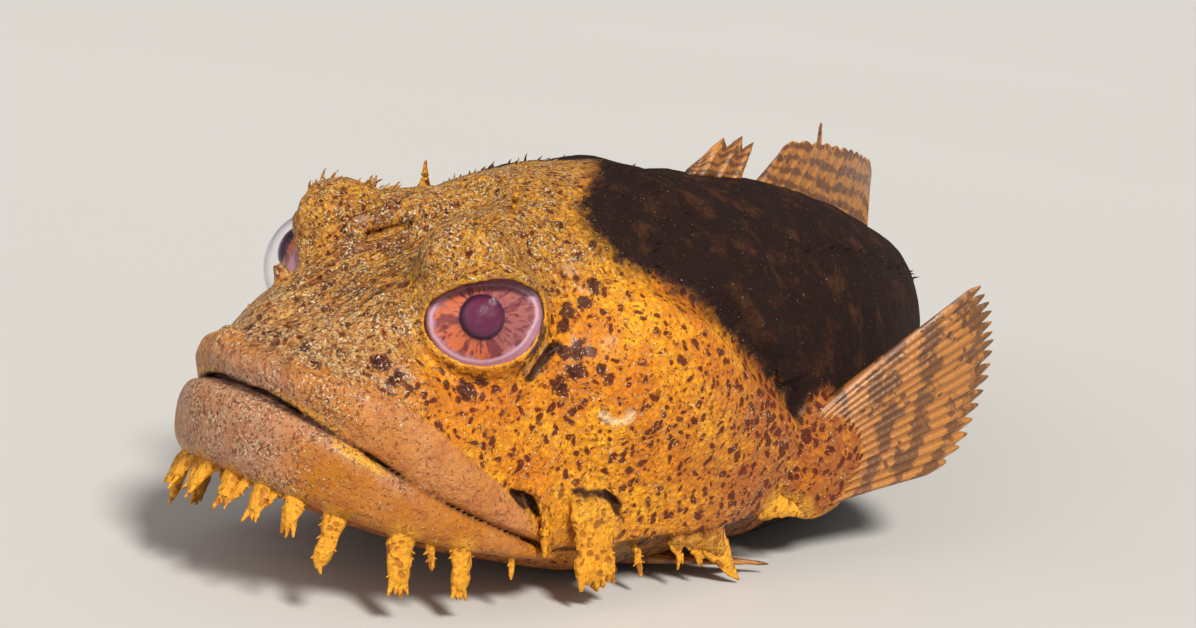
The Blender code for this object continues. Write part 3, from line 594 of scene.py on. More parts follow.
@dataclass(frozen=True)
class EyeSeat:
    """Where an eye sits, the direction it looks in and the opening of its lids."""

    centre: tuple[float, float, float] = (31, -19, 45)
    gaze: tuple[float, float, float] = (-0.55, -0.78, 0.30)
    radius: float = 9.8
    lid_thickness: float = 0.8
    opening_rear: float = 9.2
    opening_front: float = 9.1
    opening_up: float = 5.3
    opening_down: float = 7.25
    lower_rear: float = 0.91
    rim_slope: float = 7.5

    def axes(self) -> Array:
        """Rows along the eye's length, its height and its gaze."""
        gaze = unit(self.gaze)
        along = unit(np.array([1.0, 0, 0]) - gaze * gaze[0])
        return np.array([along, np.cross(gaze, along), gaze])

    def local(self, x: Array, y: Array, z: Array) -> list[Array]:
        """Each point in the eye's own axes, from its centre."""
        y = -np.abs(y)
        dx, dy, dz = x - self.centre[0], y - self.centre[1], z - self.centre[2]
        return [dx * a[0] + dy * a[1] + dz * a[2] for a in self.axes()]

    def gap(self, x: Array, y: Array, z: Array) -> Array:
        """Distance from the eyeball's surface."""
        return np.sqrt(sum(part ** 2 for part in self.local(x, y, z))) - self.radius

    def opening(self, x: Array, y: Array, z: Array) -> Array:
        """How far each point lies outside the lids' opening, seen along the gaze; 1 on its edge."""
        along, up, _ = self.local(x, y, z)
        return self.spread(along, up)

    def spread(self, along: Array, up: Array) -> Array:
        """The same for points given along the eye's length and height."""
        tall = np.where(up > 0, self.opening_up, self.opening_down)
        wide = np.where(along > 0, self.opening_rear, self.opening_front)
        low = ramp(-up, 0.0, 3.0)
        wide = wide * (1 - (1 - self.lower_rear) * low * (along > 0))
        power = 2.35 - 0.35 * low
        return (np.abs(along / wide) ** power + np.abs(up / tall) ** power) ** (1 / power)

    def window(self, x: Array, y: Array, z: Array) -> Array:
        """The room in front of the ball within the lids' opening."""
        rim = (self.opening(x, y, z) - 1) * self.rim_slope
        return soft_max(soft_max(self.gap(x, y, z) - 3.0, rim, 1.0), 1.5 - self.local(x, y, z)[2], 1.0)

    def lids(self, x: Array, y: Array, z: Array) -> Array:
        """A shell of skin over the eyeball, open in front."""
        hole = (1 - self.opening(x, y, z)) * self.rim_slope
        shell = self.gap(x, y, z) - self.lid_thickness
        return soft_max(soft_max(shell, hole, 1.2), -self.local(x, y, z)[2] - 1.0, 2.0)

    def clearing(self, x: Array, y: Array, z: Array) -> Array:
        """The room round the front of the eye, which the brow alone overhangs."""
        along, up, out = self.local(x, y, z)
        floor = 2.6 + 3.4 * ramp(up, 2.5, 9) + 2.4 * ramp(along, -5, 5) + 1.2 * ramp(-up, 3, 9)
        return soft_max(np.sqrt(along ** 2 + up ** 2) - 12.8, floor - out, 3.5)

    def ball(self, x: Array, y: Array, z: Array) -> Array:
        """The room that the eyeball takes."""
        return self.gap(x, y, z) - 0.05

    def mound(self) -> Form:
        """The swelling of the head that holds the eye."""
        middle = np.array(self.centre) - unit(self.gaze) * 4.5
        return ball_form(middle, (11.6, 11.6, 11.6))

    def fold(self, start: float, end: float, out: float, back: float, thin: float) -> tuple[list, list]:
        """A line of skin round the eye.

        Args:
            start: where it starts, in degrees from the rear of the eye upwards.
            end: where it ends.
            out: its distance from the gaze line.
            back: how far it lies in front of the eye's centre.
            thin: its radius at its middle.

        Returns:
            The points along it, and its radius at each.
        """
        along, up, gaze = self.axes()
        points, radii = [], []
        for t in np.linspace(0, 1, 9):
            angle = math.radians(start + (end - start) * t)
            points.append(np.array(self.centre) + gaze * back
                          + (along * math.cos(angle) + up * math.sin(angle) * 0.88) * out)
            radii.append(thin * (0.35 + 0.65 * math.sin(math.pi * t)))
        return points, radii


EYE = EyeSeat()
RIGHT_EYE = EyeSeat(opening_front=10.4, opening_up=7.2, opening_down=8.4)


# The line from the nape to the gill cover's rear edge, where the painted shadow over the back begins
SHOULDER = ((50, -24.0, 56.5), (60, -28.5, 53.5), (69, -31.5, 49.5), (79, -34.5, 41.5), (88, -35.5, 34.5),
            (95, -34.5, 29.0))


# Flaps, barbels and other fringe: root, direction, length and half width, in millimetres, on the left side

# The middle of the mouth in X, from which the jaw's barbels point outwards
MOUTH_MIDDLE = 24


class Outline(Enum):
    """How a lobe narrows: a stout barbel, a broad strap with a torn end, or a pointed leaf."""

    BARBEL = "barbel"
    STRAP = "strap"
    LEAF = "leaf"


@dataclass(frozen=True)
class Lobe:
    """A flap or barbel that leaves the skin at its root and ends in a soft or ragged tip."""

    root: tuple[float, float, float]
    way: tuple[float, float, float]
    length: float
    width: float
    outline: Outline = Outline.BARBEL
    thin: float = 0.55
    fingers: int = 2
    curl: tuple[float, float, float] = (0, 0, 0)
    glow: float = 0.7

    def line(self, steps: int, sink: float = 2.0) -> Array:
        """Points along the lobe's middle from under the skin to its tip."""
        way = unit(self.way)
        t = np.linspace(0, 1, steps)[:, None]
        return np.array(self.root) - way * sink + way * (self.length + sink) * t + np.array(self.curl) * t * t

    def widths(self, steps: int) -> Array:
        """Half the lobe's width at each step along it."""
        t = np.linspace(0, 1, steps)
        if self.outline is Outline.LEAF:
            return self.width * (1.05 - t ** 1.25) + 0.05
        if self.outline is Outline.STRAP:
            return self.width * (1.12 - 0.34 * np.sin(t * 2.2) + 0.14 * t)
        return self.width * (1.30 - 0.85 * t ** 0.7 + 0.35 * t ** 3) * np.sqrt(1.02 - t ** 8)

    def flat_axis(self) -> Array:
        """The direction of the lobe's width."""
        way = unit(self.way)
        if abs(way[2]) > 0.6 and self.root[0] < 46 and self.root[2] < 30:
            out = np.array([self.root[0] - MOUTH_MIDDLE, self.root[1], 0.0])
            wide = np.array([-out[1], out[0], 0.0])
        else:
            wide = np.cross(way, (0, 1, 0))
        return unit(wide - way * (wide @ way))


def jaw_point(share: float, rise: float) -> Array:
    """A point in the lower lip.

    Args:
        share: 0 at the chin and 1 at the mouth's corner.
        rise: its height above the lip's lower edge.

    Returns:
        The point.
    """
    power = 2 / BODY.mouth_roundness
    angle = share * math.pi / 2
    inset = 2.4
    x = inset + (BODY.gape_length - inset) * (1 - math.cos(angle) ** power)
    y = -(BODY.mouth_half_width - inset) * math.sin(angle) ** power
    front = x - LOWER_LIP.forward * (1 - x / BODY.gape_length)
    return np.array([front, y, float(LOWER_LIP.low.at(np.array(front))) + rise])


# The barbels under the lower lip: share of the way to the mouth's corner, length, half width, number of
# fingers, and lean and curl along the jaw
BARBEL_ROWS = (
    (0.04, 6.5, 1.9, 2, 0.25, 0.4), (0.10, 5.5, 1.2, 1, -0.2, 0.8), (0.155, 6.5, 1.8, 3, 0.1, 0.3),
    (0.20, 4.2, 0.9, 0, -0.1, 0.5), (0.26, 6.2, 1.9, 3, 0.15, 0.5), (0.385, 9.2, 1.9, 1, 0.12, 3.0),
    (0.575, 8.6, 2.5, 4, -0.05, 0.2), (0.65, 5, 0.9, 0, 0.1, 0.0), (0.735, 7.6, 2.3, 4, -0.1, 0.1),
    (0.87, 4.2, 0.9, 0, 0.0, 0.2))


def jaw_barbels() -> list[Lobe]:
    """The fringe of barbels under the left half of the lower lip."""
    made = []
    for share, length, width, fingers, lean, curl in BARBEL_ROWS:
        root = jaw_point(share, 0.8)
        length = min(length, root[2] - 1.2)
        outward = unit((root[0] - MOUTH_MIDDLE, root[1], 0))
        forward = np.array([outward[1], -outward[0], 0])
        out = 0.85 - 0.6 * float(ramp(share, 0.15, 0.45))
        way = outward * out - forward * lean + (0, 0, -1)
        made.append(Lobe(tuple(root), tuple(way), length, width, Outline.BARBEL, 0.6, fingers,
                         tuple(forward * curl - outward * 0.5)))
    return made


BARBELS = jaw_barbels()

# Where the painted shadow over the back begins: a height at each X, and an X at each Y over the nape
BACK_SHADOW_LINE = Profile(((47, 58), (60, 53.5), (69, 49.5), (79, 41.5), (88, 34.5), (95, 27), (100, 5),
                     (104, -20)))
NAPE_SHADOW_LINE = Profile(((-26, 50), (-20.5, 52), (-14, 54), (-11, 58.5), (-5, 66), (0, 71)))

# Broad dark blotches: a place and a radius each
BLOTCHES = (
    (43.8, -24.8, 47.2, 1.9), (42.2, -25.6, 44.8, 1.2), (47.0, -25.4, 48.3, 1.5),
    (49.5, -24.8, 51.0, 1.8), (44.5, -27.7, 41.0, 1.5), (44.0, -28.5, 37.8, 1.5),
    (45.1, -27.3, 42.8, 1.0), (41.8, -27.1, 41.0, 1.3), (41.0, -28.3, 35.9, 1.8),
    (46.8, -30.7, 39.1, 1.1), (26.7, -25.2, 37.1, 1.4), (23.7, -24.9, 35.4, 1.8),
    (34.4, -16.2, 55.2, 1.2), (40.1, -10.1, 57.4, 0.9), (48.5, -16.0, 58.9, 1.1),
    (42.6, -16.3, 55.9, 0.9), (12.9, -16.9, 39.0, 1.8), (14.4, -19.6, 36.8, 1.8), (6.0, -10.7, 37.2, 1.3),
    (20.9, -23.5, 36.2, 1.1), (6.2, -7.5, 39.2, 1.0))

CROWN_FLAPS = tuple(Lobe(*row, Outline.LEAF, 0.4, 1, glow=0.05) for row in (
    ((36, -14.5, 59.2), (0.3, -0.25, 1), 1.3, 1.1), ((29, -18, 58.6), (-0.1, -0.5, 1), 1.3, 0.9),
    ((43.6, -10.5, 59.4), (0.05, -0.1, 1), 3.5, 2.2), ((55, -7, 60.6), (0.25, -0.2, 1), 2.2, 1.0),
    ((66, -11, 61.6), (0.5, -0.3, 1), 1.8, 1.0)))
CHEEK_FLAPS = (Lobe((48.4, -30.7, 17.6), (0.12, -0.20, -1), 12.2, 4.7, Outline.STRAP, 0.15, 7, glow=0.5),
               Lobe((40.8, -28.8, 16.4), (0.12, -0.18, -1), 3.8, 4.0, Outline.STRAP, 0.13, 9, glow=0.25))
COVER_FLAPS = (Lobe((79, -32.2, 7.2), (0.62, -0.3, -0.8), 9.0, 3.4, Outline.LEAF, 0.2, 0, glow=0.85),
               Lobe((74.5, -32.2, 6.7), (0.5, -0.2, -1), 1.9, 2.2, Outline.LEAF, 0.2, 3, glow=0.75),
               Lobe((70.5, -32.0, 6.5), (0.2, -0.2, -1), 1.5, 1.9, Outline.LEAF, 0.2, 2, glow=0.6),
               Lobe((62, -30.6, 6.3), (0.1, -0.3, -1), 3.6, 0.8, Outline.BARBEL, 0.6, 0, glow=0.5))
COVER_SPINES = (Lobe((91, -34.6, 36), (1, -0.25, 0.12), 6.0, 1.3, Outline.LEAF, 0.5, 0, glow=0.2),
                Lobe((91.5, -33.6, 12.5), (1, -0.22, -0.32), 8.0, 2.9, Outline.LEAF, 0.3, 0, glow=0.95))

# Nostrils: base, direction, length and radius; hollows, darkened with painted shade: radius, flatness and
# line; pale lines
NOSTRILS = (((5.0, -8.5, 37.6), (-0.6, -0.3, 0.8), 0.3, 0.75),
            ((17, -13, 46.3), (-0.25, -0.4, 0.9), 0.4, 0.95))
HOLLOWS = ((1.7, 0.42, ((33.3, -28.4, 19.6), (34.7, -28.7, 18.6), (35.6, -28.9, 17.4))),
           (1.7, 0.42, ((35.4, -28.9, 19.0), (36.8, -29.1, 17.8), (37.8, -29.3, 16.4))),
           (1.7, 0.42, ((44.6, -31.0, 19.4), (46.6, -31.4, 18.8), (48.4, -31.8, 18.7))),
           (1.7, 0.42, ((49.0, -32.0, 18.8), (51.2, -32.4, 18.0), (52.7, -32.7, 16.8), (53.2, -32.8, 15.2))),
           (1.15, 0.8, ((34.0, -26.4, 38.3), (36.0, -26.4, 40.6), (37.9, -26.1, 42.9), (39.2, -25.2, 45.2))),
           (1.15, 0.8, ((35.0, -27.5, 37.6), (36.8, -27.5, 39.8), (38.6, -27.4, 41.6), (40.2, -27.4, 42.4))))
PALE_LINES = (((47.1, -31.9, 32.1), (48.2, -32.5, 31.0), (49.6, -33.2, 30.6), (50.9, -33.9, 31.0),
               (51.8, -34.4, 32.0)),
              ((34.6, -27.0, 38.2), (35.6, -27.0, 39.4)), ((37.0, -26.9, 41.0), (38.2, -26.7, 42.4)))

# The way from which the places above are set on the skin, and the ends of the pectoral fin's root
FRONT_QUARTER = (-0.72, -0.68, 0.15)
PECTORAL_TOP = np.array([101, -33.5, 29.0])
PECTORAL_LOW = np.array([100, -32.5, 9.5])


# Meshes


def new_object(name: str, data: bpy.types.ID) -> Piece:
    """An object at the origin, in the scene."""
    made = bpy.data.objects.new(name, data)
    bpy.context.scene.collection.objects.link(made)
    return made


def mesh_piece(name: str, points: Array, faces: Sequence, smooth: bool = True) -> Piece:
    """Makes a piece from points in metres.

    Args:
        name: the piece's name.
        points: rows of X, Y and Z.
        faces: the corners of each face.
        smooth: whether it is shaded smooth.

    Returns:
        The object, at the origin.
    """
    mesh = bpy.data.meshes.new(name)
    mesh.from_pydata(np.asarray(points, float).tolist(), [], [list(map(int, f)) for f in faces])
    if smooth:
        mesh.shade_smooth()
    return new_object(name, mesh)


def triangle_mesh(name: str, points: Array, faces: Array) -> bpy.types.Mesh:
    """A smooth mesh of triangles, filled in one go."""
    mesh = bpy.data.meshes.new(name)
    mesh.vertices.add(len(points))
    mesh.vertices.foreach_set("co", np.asarray(points, np.float32).ravel())
    mesh.loops.add(len(faces) * 3)
    mesh.loops.foreach_set("vertex_index", np.asarray(faces, np.int32).ravel())
    mesh.polygons.add(len(faces))
    mesh.polygons.foreach_set("loop_start", np.arange(0, len(faces) * 3, 3, dtype=np.int32))
    mesh.update(calc_edges=True)
    mesh.validate()
    mesh.shade_smooth()
    return mesh


def points_of(mesh: bpy.types.Mesh) -> Array:
    """The mesh's points as rows of X, Y and Z."""
    found = np.empty(len(mesh.vertices) * 3, np.float32)
    mesh.vertices.foreach_get("co", found)
    return found.reshape(-1, 3).astype(float)


def store(mesh: bpy.types.Mesh, name: str, values: Array) -> None:
    """Writes one number per point under a name."""
    mesh.attributes.new(name, "FLOAT", "POINT").data.foreach_set("value", np.asarray(values, np.float32))


def applied(obj: Piece) -> Piece:
    """The object with its modifiers made into a plain mesh."""
    graph = bpy.context.evaluated_depsgraph_get()
    graph.update()
    made = bpy.data.meshes.new_from_object(obj.evaluated_get(graph), depsgraph=graph)
    made.name = obj.name
    obj.modifiers.clear()
    obj.data = made
    return obj


def ride(piece: Piece, slot: str, *nodes: str) -> Piece:
    """Sets a piece on the fish's one body, and hides the nodes it stands for."""
    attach(piece, "root")
    if nodes:
        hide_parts(*nodes)
    log.info("%s: %d faces", piece.name, len(piece.data.polygons))
    return piece


# Materials


class Nodes:
    """Adds nodes to one tree and joins them."""

    def __init__(self, tree: bpy.types.NodeTree) -> None:
        """Takes the tree to work in."""
        self.tree = tree

    def add(self, kind: str, inputs: dict | None = None, **settings: object) -> bpy.types.Node:
        """Adds a node.

        Args:
            kind: its type.
            inputs: values or sockets for its inputs, by name or number.
            settings: its own properties.

        Returns:
            The node.
        """
        node = self.tree.nodes.new(kind)
        for name, value in settings.items():
            setattr(node, name, value)
        self.feed(node, inputs or {})
        return node

    def feed(self, node: bpy.types.Node, inputs: dict) -> None:
        """Joins sockets to a node's inputs, and sets those given as plain values."""
        for name, value in inputs.items():
            if isinstance(value, Socket):
                self.tree.links.new(value, node.inputs[name])
            else:
                node.inputs[name].default_value = value

    def math(self, operation: str, a: object, b: object = 0.0, clamp: bool = False) -> Socket:
        """One sum on one or two numbers."""
        return self.add("ShaderNodeMath", {0: a, 1: b}, operation=operation, use_clamp=clamp).outputs[0]

    def times(self, a: object, *others: object) -> Socket:
        """Numbers multiplied."""
        for b in others:
            a = self.math("MULTIPLY", a, b)
        return a

    def plus(self, a: object, b: object, clamp: bool = False) -> Socket:
        """The sum of two numbers."""
        return self.math("ADD", a, b, clamp)

    def less(self, a: object, b: object, clamp: bool = False) -> Socket:
        """The first number less the second."""
        return self.math("SUBTRACT", a, b, clamp)

    def most(self, a: object, b: object) -> Socket:
        """The larger of two numbers."""
        return self.math("MAXIMUM", a, b)

    def vector(self, operation: str, a: object, b: object) -> Socket:
        """One sum on two vectors, or on a vector and its scale."""
        other = "Scale" if operation == "SCALE" else 1
        return self.add("ShaderNodeVectorMath", {0: a, other: b}, operation=operation).outputs[0]

    def mix(self, share: object, a: object, b: object) -> Socket:
        """Two colours mixed."""
        return self.add("ShaderNodeMix", {0: share, 6: a, 7: b}, data_type="RGBA").outputs[2]

    def band(self, value: object, low: float, high: float, to_low: float = 0.0,
             to_high: float = 1.0) -> Socket:
        """A smooth rise of a number from to_low to to_high as value goes from low to high."""
        return self.add("ShaderNodeMapRange", {0: value, 1: low, 2: high, 3: to_low, 4: to_high},
                        interpolation_type="SMOOTHSTEP").outputs[0]

    def noise(self, vector: object, scale: object, detail: float = 2.0, rough: float = 0.5,
              twist: float = 0.0) -> Socket:
        """Soft random shading."""
        return self.add("ShaderNodeTexNoise", {"Vector": vector, "Scale": scale, "Detail": detail,
                                               "Roughness": rough, "Distortion": twist}).outputs["Fac"]

    def cells(self, vector: object, scale: object) -> bpy.types.Node:
        """Random cells: distance to the nearest middle, and each cell's own colour."""
        return self.add("ShaderNodeTexVoronoi", {"Vector": vector, "Scale": scale})

    def mark(self, name: str) -> Socket:
        """A number stored on the mesh."""
        return self.add("ShaderNodeAttribute", attribute_name=name).outputs["Fac"]

    def place(self) -> Socket:
        """The point on the object."""
        return self.add("ShaderNodeTexCoord").outputs["Object"]


def new_group(name: str, inputs: dict[str, float | None],
              *outputs: str) -> tuple[Nodes, dict[str, Socket], bpy.types.Node]:
    """A shader node group with named sockets.

    Args:
        name: its name.
        inputs: each input's value, or None for a vector.
        outputs: the names of its outputs, all of them numbers.

    Returns:
        The group's nodes, its input sockets by name, and its output node.
    """
    tree = bpy.data.node_groups.new(name, "ShaderNodeTree")
    for title, value in inputs.items():
        kind = "NodeSocketVector" if value is None else "NodeSocketFloat"
        made = tree.interface.new_socket(title, in_out="INPUT", socket_type=kind)
        if value is not None:
            made.default_value = value
    for title in outputs:
        tree.interface.new_socket(title, in_out="OUTPUT", socket_type="NodeSocketFloat")
    nodes = Nodes(tree)
    source = nodes.add("NodeGroupInput")
    return nodes, {s.name: s for s in source.outputs}, nodes.add("NodeGroupOutput")


def spots_group() -> bpy.types.NodeTree:
    """Small dark irregular spots that run together here and there."""
    nodes, given, out = new_group("Spots", {"Place": None, "Scale": 300.0, "Size": 0.3}, "Mask", "Edge")
    place = given["Place"]
    wobble = nodes.add("ShaderNodeTexNoise", {"Vector": place, "Scale": 330.0, "Detail": 1.0})
    bent = nodes.vector("SCALE", nodes.vector("SUBTRACT", wobble.outputs["Color"], (0.5, 0.5, 0.5)), 0.0034)
    cell = nodes.cells(nodes.vector("ADD", place, bent), given["Scale"])
    own = nodes.add("ShaderNodeSeparateColor", {0: cell.outputs["Color"]}).outputs[0]
    limit = nodes.times(given["Size"], nodes.band(own, 0.0, 1.0, 0.45, 1.12))
    ragged = nodes.times(nodes.noise(place, 1500.0, 2.0), 0.30)
    gap = nodes.less(nodes.plus(cell.outputs["Distance"], ragged), nodes.plus(limit, 0.15))
    nodes.feed(out, {"Mask": nodes.band(gap, 0.07, -0.07), "Edge": nodes.band(gap, 0.27, 0.0)})
    return nodes.tree


def hide_group() -> bpy.types.NodeTree:
    """The fine relief of wet scaleless skin: close-set grains over soft wrinkles."""
    nodes, given, out = new_group("Hide", {"Place": None, "Grain": 900.0, "Wrinkle": 260.0},
                                  "Height", "Grains")
    place = given["Place"]
    raised = nodes.less(0.7, nodes.cells(place, given["Grain"]).outputs["Distance"])
    total = nodes.plus(nodes.times(raised, 0.5), nodes.times(nodes.noise(place, 2600.0, 3.0, 0.6), 0.35))
    folds = nodes.noise(place, given["Wrinkle"], 4.0, 0.55, 0.6)
    nodes.feed(out, {"Height": nodes.plus(total, nodes.times(folds, 1.2)), "Grains": raised})
    return nodes.tree


def grit_group() -> bpy.types.NodeTree:
    """Pale sand and painted glints, and dark specks of uneven shape, caught in the skin in drifts."""
    nodes, given, out = new_group("Grit", {"Place": None, "Amount": 0.3}, "Pale", "Dark")
    place = given["Place"]
    drift = nodes.band(nodes.noise(place, 210.0, 3.0, 0.6), 0.35, 0.65, 0.65, 1.0)
    amount = nodes.times(given["Amount"], drift)
    far = nodes.vector("ADD", place, (0.31, 0.17, 0.05))
    for title, spot, scale, most in (("Pale", place, 2100.0, 0.185), ("Dark", far, 1600.0, 0.21)):
        level = nodes.plus(nodes.noise(spot, scale, 2.0, 0.70, 0.2), nodes.times(amount, most))
        nodes.feed(out, {title: nodes.band(level, 0.70, 0.76)})
    return nodes.tree


class Effects:
    """The node groups that several finishes share."""

    def __init__(self) -> None:
        """Builds each group once."""
        self.spots = spots_group()
        self.hide = hide_group()
        self.grit = grit_group()

    @staticmethod
    def use(nodes: Nodes, group: bpy.types.NodeTree, **inputs: object) -> bpy.types.NodeOutputs:
        """Places a group in a material and gives its outputs."""
        made = nodes.add("ShaderNodeGroup", node_tree=group)
        nodes.feed(made, inputs)
        return made.outputs


# How far red, green and blue light spreads in flesh, as shares of one scale
FLESH_RADII = (1.0, 0.35, 0.15)


def new_material(name: str) -> tuple[bpy.types.Material, Nodes, bpy.types.Node]:
    """An empty material with its shader."""
    material = bpy.data.materials.new(name)
    material.use_nodes = True
    return material, Nodes(material.node_tree), material.node_tree.nodes["Principled BSDF"]


@dataclass(frozen=True)
class SkinFinish:
    """Wet mottled skin: bright orange-yellow with maroon spots, dull on the crown and tan on the lips, with
    painted shadow over the back and painted shade in its hollows.
    """

    bright: Colour = (0.93, 0.41, 0.014, 1)
    deep: Colour = (0.66, 0.205, 0.008, 1)
    spot: Colour = (0.095, 0.012, 0.006, 1)
    blotch: Colour = (0.052, 0.009, 0.007, 1)
    # Reddish halo round the spots, also painted shade in the valleys between the grains
    halo_and_grain_shade: Colour = (0.38, 0.095, 0.010, 1)
    pinkish: Colour = (0.34, 0.095, 0.030, 1)
    lip: Colour = (0.43, 0.150, 0.011, 1)
    lip_pink: Colour = (0.55, 0.220, 0.070, 1)
    lip_cool: Colour = (0.44, 0.225, 0.130, 1)
    crown: Colour = (0.66, 0.335, 0.040, 1)
    crown_grey: Colour = (0.58, 0.36, 0.15, 1)
    crown_dark: Colour = (0.12, 0.040, 0.014, 1)
    # Painted shadow over the back: nearly black, with brown patches
    back: Colour = (0.015, 0.006, 0.004, 1)
    back_shadow_patch: Colour = (0.055, 0.020, 0.008, 1)
    # Pale sand, also used for painted glints over the whole head
    sand_and_glint: Colour = (0.86, 0.68, 0.42, 1)
    speck: Colour = (0.10, 0.028, 0.022, 1)
    rim: Colour = (0.78, 0.37, 0.032, 1)
    # The underside's reddish brown, made darker as painted shade under the body and jaw
    belly: Colour = (0.24, 0.075, 0.022, 1)
    # Painted shade in slits, pits, creases and nostrils and under the gill cover, and the spots within the
    # back's painted shadow
    painted_shade: Colour = (0.025, 0.007, 0.006, 1)

    def ground(self, nodes: Nodes, place: Socket) -> Socket:
        """The colour under the spots."""
        rear = nodes.mark("rear")
        colour = nodes.mix(nodes.band(nodes.noise(place, 75.0, 3.0, 0.6), 0.36, 0.64), self.bright, self.deep)
        fine = nodes.band(nodes.noise(place, 340.0, 4.0, 0.62), 0.46, 0.64)
        colour = nodes.mix(nodes.times(fine, 0.45), colour, self.deep)
        ruddy = nodes.band(nodes.noise(place, 270.0, 4.0, 0.65), 0.40, 0.60)
        ruddy = nodes.plus(ruddy, nodes.times(rear, 0.35), True)
        colour = nodes.mix(nodes.times(ruddy, rear, 0.9), colour, self.pinkish)
        dull = nodes.mix(nodes.mark("grey"), self.crown, self.crown_grey)
        dark = nodes.band(nodes.noise(place, 850.0, 4.0, 0.72, 0.5), 0.48, 0.60, 0.0, 0.88)
        dull = nodes.mix(dark, dull, self.crown_dark)
        colour = nodes.mix(nodes.times(nodes.mark("dust"), 0.92), colour, dull)
        # reddish brown underside, darkened as painted shade under the body and the lower lip
        return nodes.mix(nodes.times(nodes.mark("belly"), 0.8), colour, self.belly)

    def lips(self, nodes: Nodes, place: Socket) -> Socket:
        """The lips' own colour, pinker above and lilac-grey in front."""
        patch = nodes.band(nodes.noise(place, 110.0, 3.0), 0.35, 0.65)
        pink = nodes.plus(nodes.times(patch, 0.35), nodes.times(nodes.mark("pink"), 0.6), True)
        colour = nodes.mix(pink, self.lip, self.lip_pink)
        cool = nodes.times(nodes.mark("cool"), nodes.band(patch, 0.0, 1.0, 0.75, 1.0))
        colour = nodes.mix(cool, colour, self.lip_cool)
        mottle = nodes.band(nodes.noise(place, 380.0, 6.0, 0.75), 0.45, 0.60, 0.0, 0.5)
        return nodes.mix(mottle, colour, self.pinkish)

    def rear_back(self, nodes: Nodes, place: Socket, spots: Socket) -> Socket:
        """Painted shadow over the back: nearly black, with brown patches and faint spots."""
        patches = nodes.band(nodes.noise(place, 150.0, 5.0, 0.68), 0.50, 0.68)
        return nodes.mix(nodes.times(spots, 0.7), nodes.mix(patches, self.back, self.back_shadow_patch), self.painted_shade)

    def streaks(self, nodes: Nodes, place: Socket) -> Socket:
        """Fine wrinkles that run along the head between the eyes, darkened along their lines as painted shade.
        """
        drawn = nodes.vector("MULTIPLY", place, (110.0, 620.0, 240.0))
        lines = nodes.band(nodes.noise(drawn, 1.0, 2.0, 0.5, 0.4), 0.50, 0.56)
        return nodes.times(lines, nodes.mark("streak"))

    def build(self, effects: Effects) -> bpy.types.Material:
        """Makes the material.

        Args:
            effects: the shared node groups.

        Returns:
            The material.
        """
        material, nodes, shader = new_material("skin")
        place = nodes.place()
        lip, dust, back, blotch = (nodes.mark(n) for n in ("lip", "dust", "back", "blotch"))
        streaks = self.streaks(nodes, place)
        relief = effects.use(nodes, effects.hide, Place=place, Grain=950.0, Wrinkle=300.0)
        grains = relief["Grains"]
        wide = nodes.less(nodes.plus(0.36, nodes.times(nodes.mark("rear"), 0.11)), nodes.times(dust, 0.08))
        big = effects.use(nodes, effects.spots, Place=place, Scale=560.0, Size=wide)
        small = effects.use(nodes, effects.spots, Place=place, Scale=950.0, Size=0.27)["Mask"]
        spots = nodes.most(big["Mask"], nodes.times(small, 0.7))
        keep = nodes.less(1.0, nodes.most(lip, nodes.mark("plain")), True)
        ragged = nodes.plus(blotch, nodes.times(nodes.noise(place, 420.0, 5.0, 0.7, 0.4), 2.2))
        edge = nodes.plus(back, nodes.times(nodes.noise(place, 420.0, 5.0, 0.7), 1.1))
        grit = effects.use(nodes, effects.grit, Place=place, Amount=nodes.mark("sandy"))
        colour = self.ground(nodes, place)
        for share, over in (
                # painted shade in the wrinkles between the eyes
                (nodes.times(streaks, 0.8), self.crown_dark),
                # painted shade in the valleys between the skin's grains
                (nodes.band(grains, 0.40, 0.05, 0.0, 0.45), self.halo_and_grain_shade),
                (nodes.times(big["Edge"], keep, 0.45), self.halo_and_grain_shade),
                (nodes.times(spots, keep, 0.92), self.spot),
                (nodes.band(ragged, 1.50, 1.78, 0.0, 0.93), self.blotch),
                # painted shadow over the back, with a ragged edge
                (nodes.band(edge, 0.62, 1.35), self.rear_back(nodes, place, big["Mask"])),
                (lip, self.lips(nodes, place)),
                (nodes.times(nodes.mark("rim"), nodes.band(grains, 0.0, 0.4, 0.7, 1.0)), self.rim),
                (nodes.times(big["Mask"], nodes.mark("flecked"), 0.85), self.halo_and_grain_shade),
                (nodes.times(grit["Dark"], 0.75), self.speck),
                # pale specks: sand on the crown and snout, painted glints elsewhere
                (nodes.times(grit["Pale"], nodes.less(0.78, nodes.times(lip, 0.33))), self.sand_and_glint),
                (nodes.mark("pale"), self.sand_and_glint),
                # painted shade in the mouth slit, pits, creases, nostrils and under the gill cover's edge
                (nodes.mark("shade"), self.painted_shade)):
            colour = nodes.mix(share, colour, over)
        height = nodes.plus(relief["Height"], nodes.times(grit["Pale"], 0.35))
        height = nodes.less(nodes.less(height, nodes.times(spots, 0.3)), nodes.times(streaks, 0.9))
        even = nodes.less(nodes.plus(0.55, nodes.times(dust, 0.45)), nodes.times(nodes.most(lip, back), 0.22))
        bump = nodes.add("ShaderNodeBump", {"Height": nodes.times(height, even), "Distance": 0.0011})
        wet = nodes.band(nodes.noise(place, 240.0, 3.0), 0.3, 0.7, 0.34, 0.58)
        nodes.feed(shader, {
            "Base Color": colour, "Roughness": nodes.most(wet, nodes.times(back, 0.85)),
            "Coat Weight": nodes.band(nodes.most(back, blotch), 0.2, 0.9, 0.06, 0.0), "Coat Roughness": 0.22,
            "Specular IOR Level": 0.14, "Normal": bump.outputs[0], "Subsurface Weight": 0.06,
            "Subsurface Scale": 0.0008, "Subsurface Radius": FLESH_RADII})
        return material


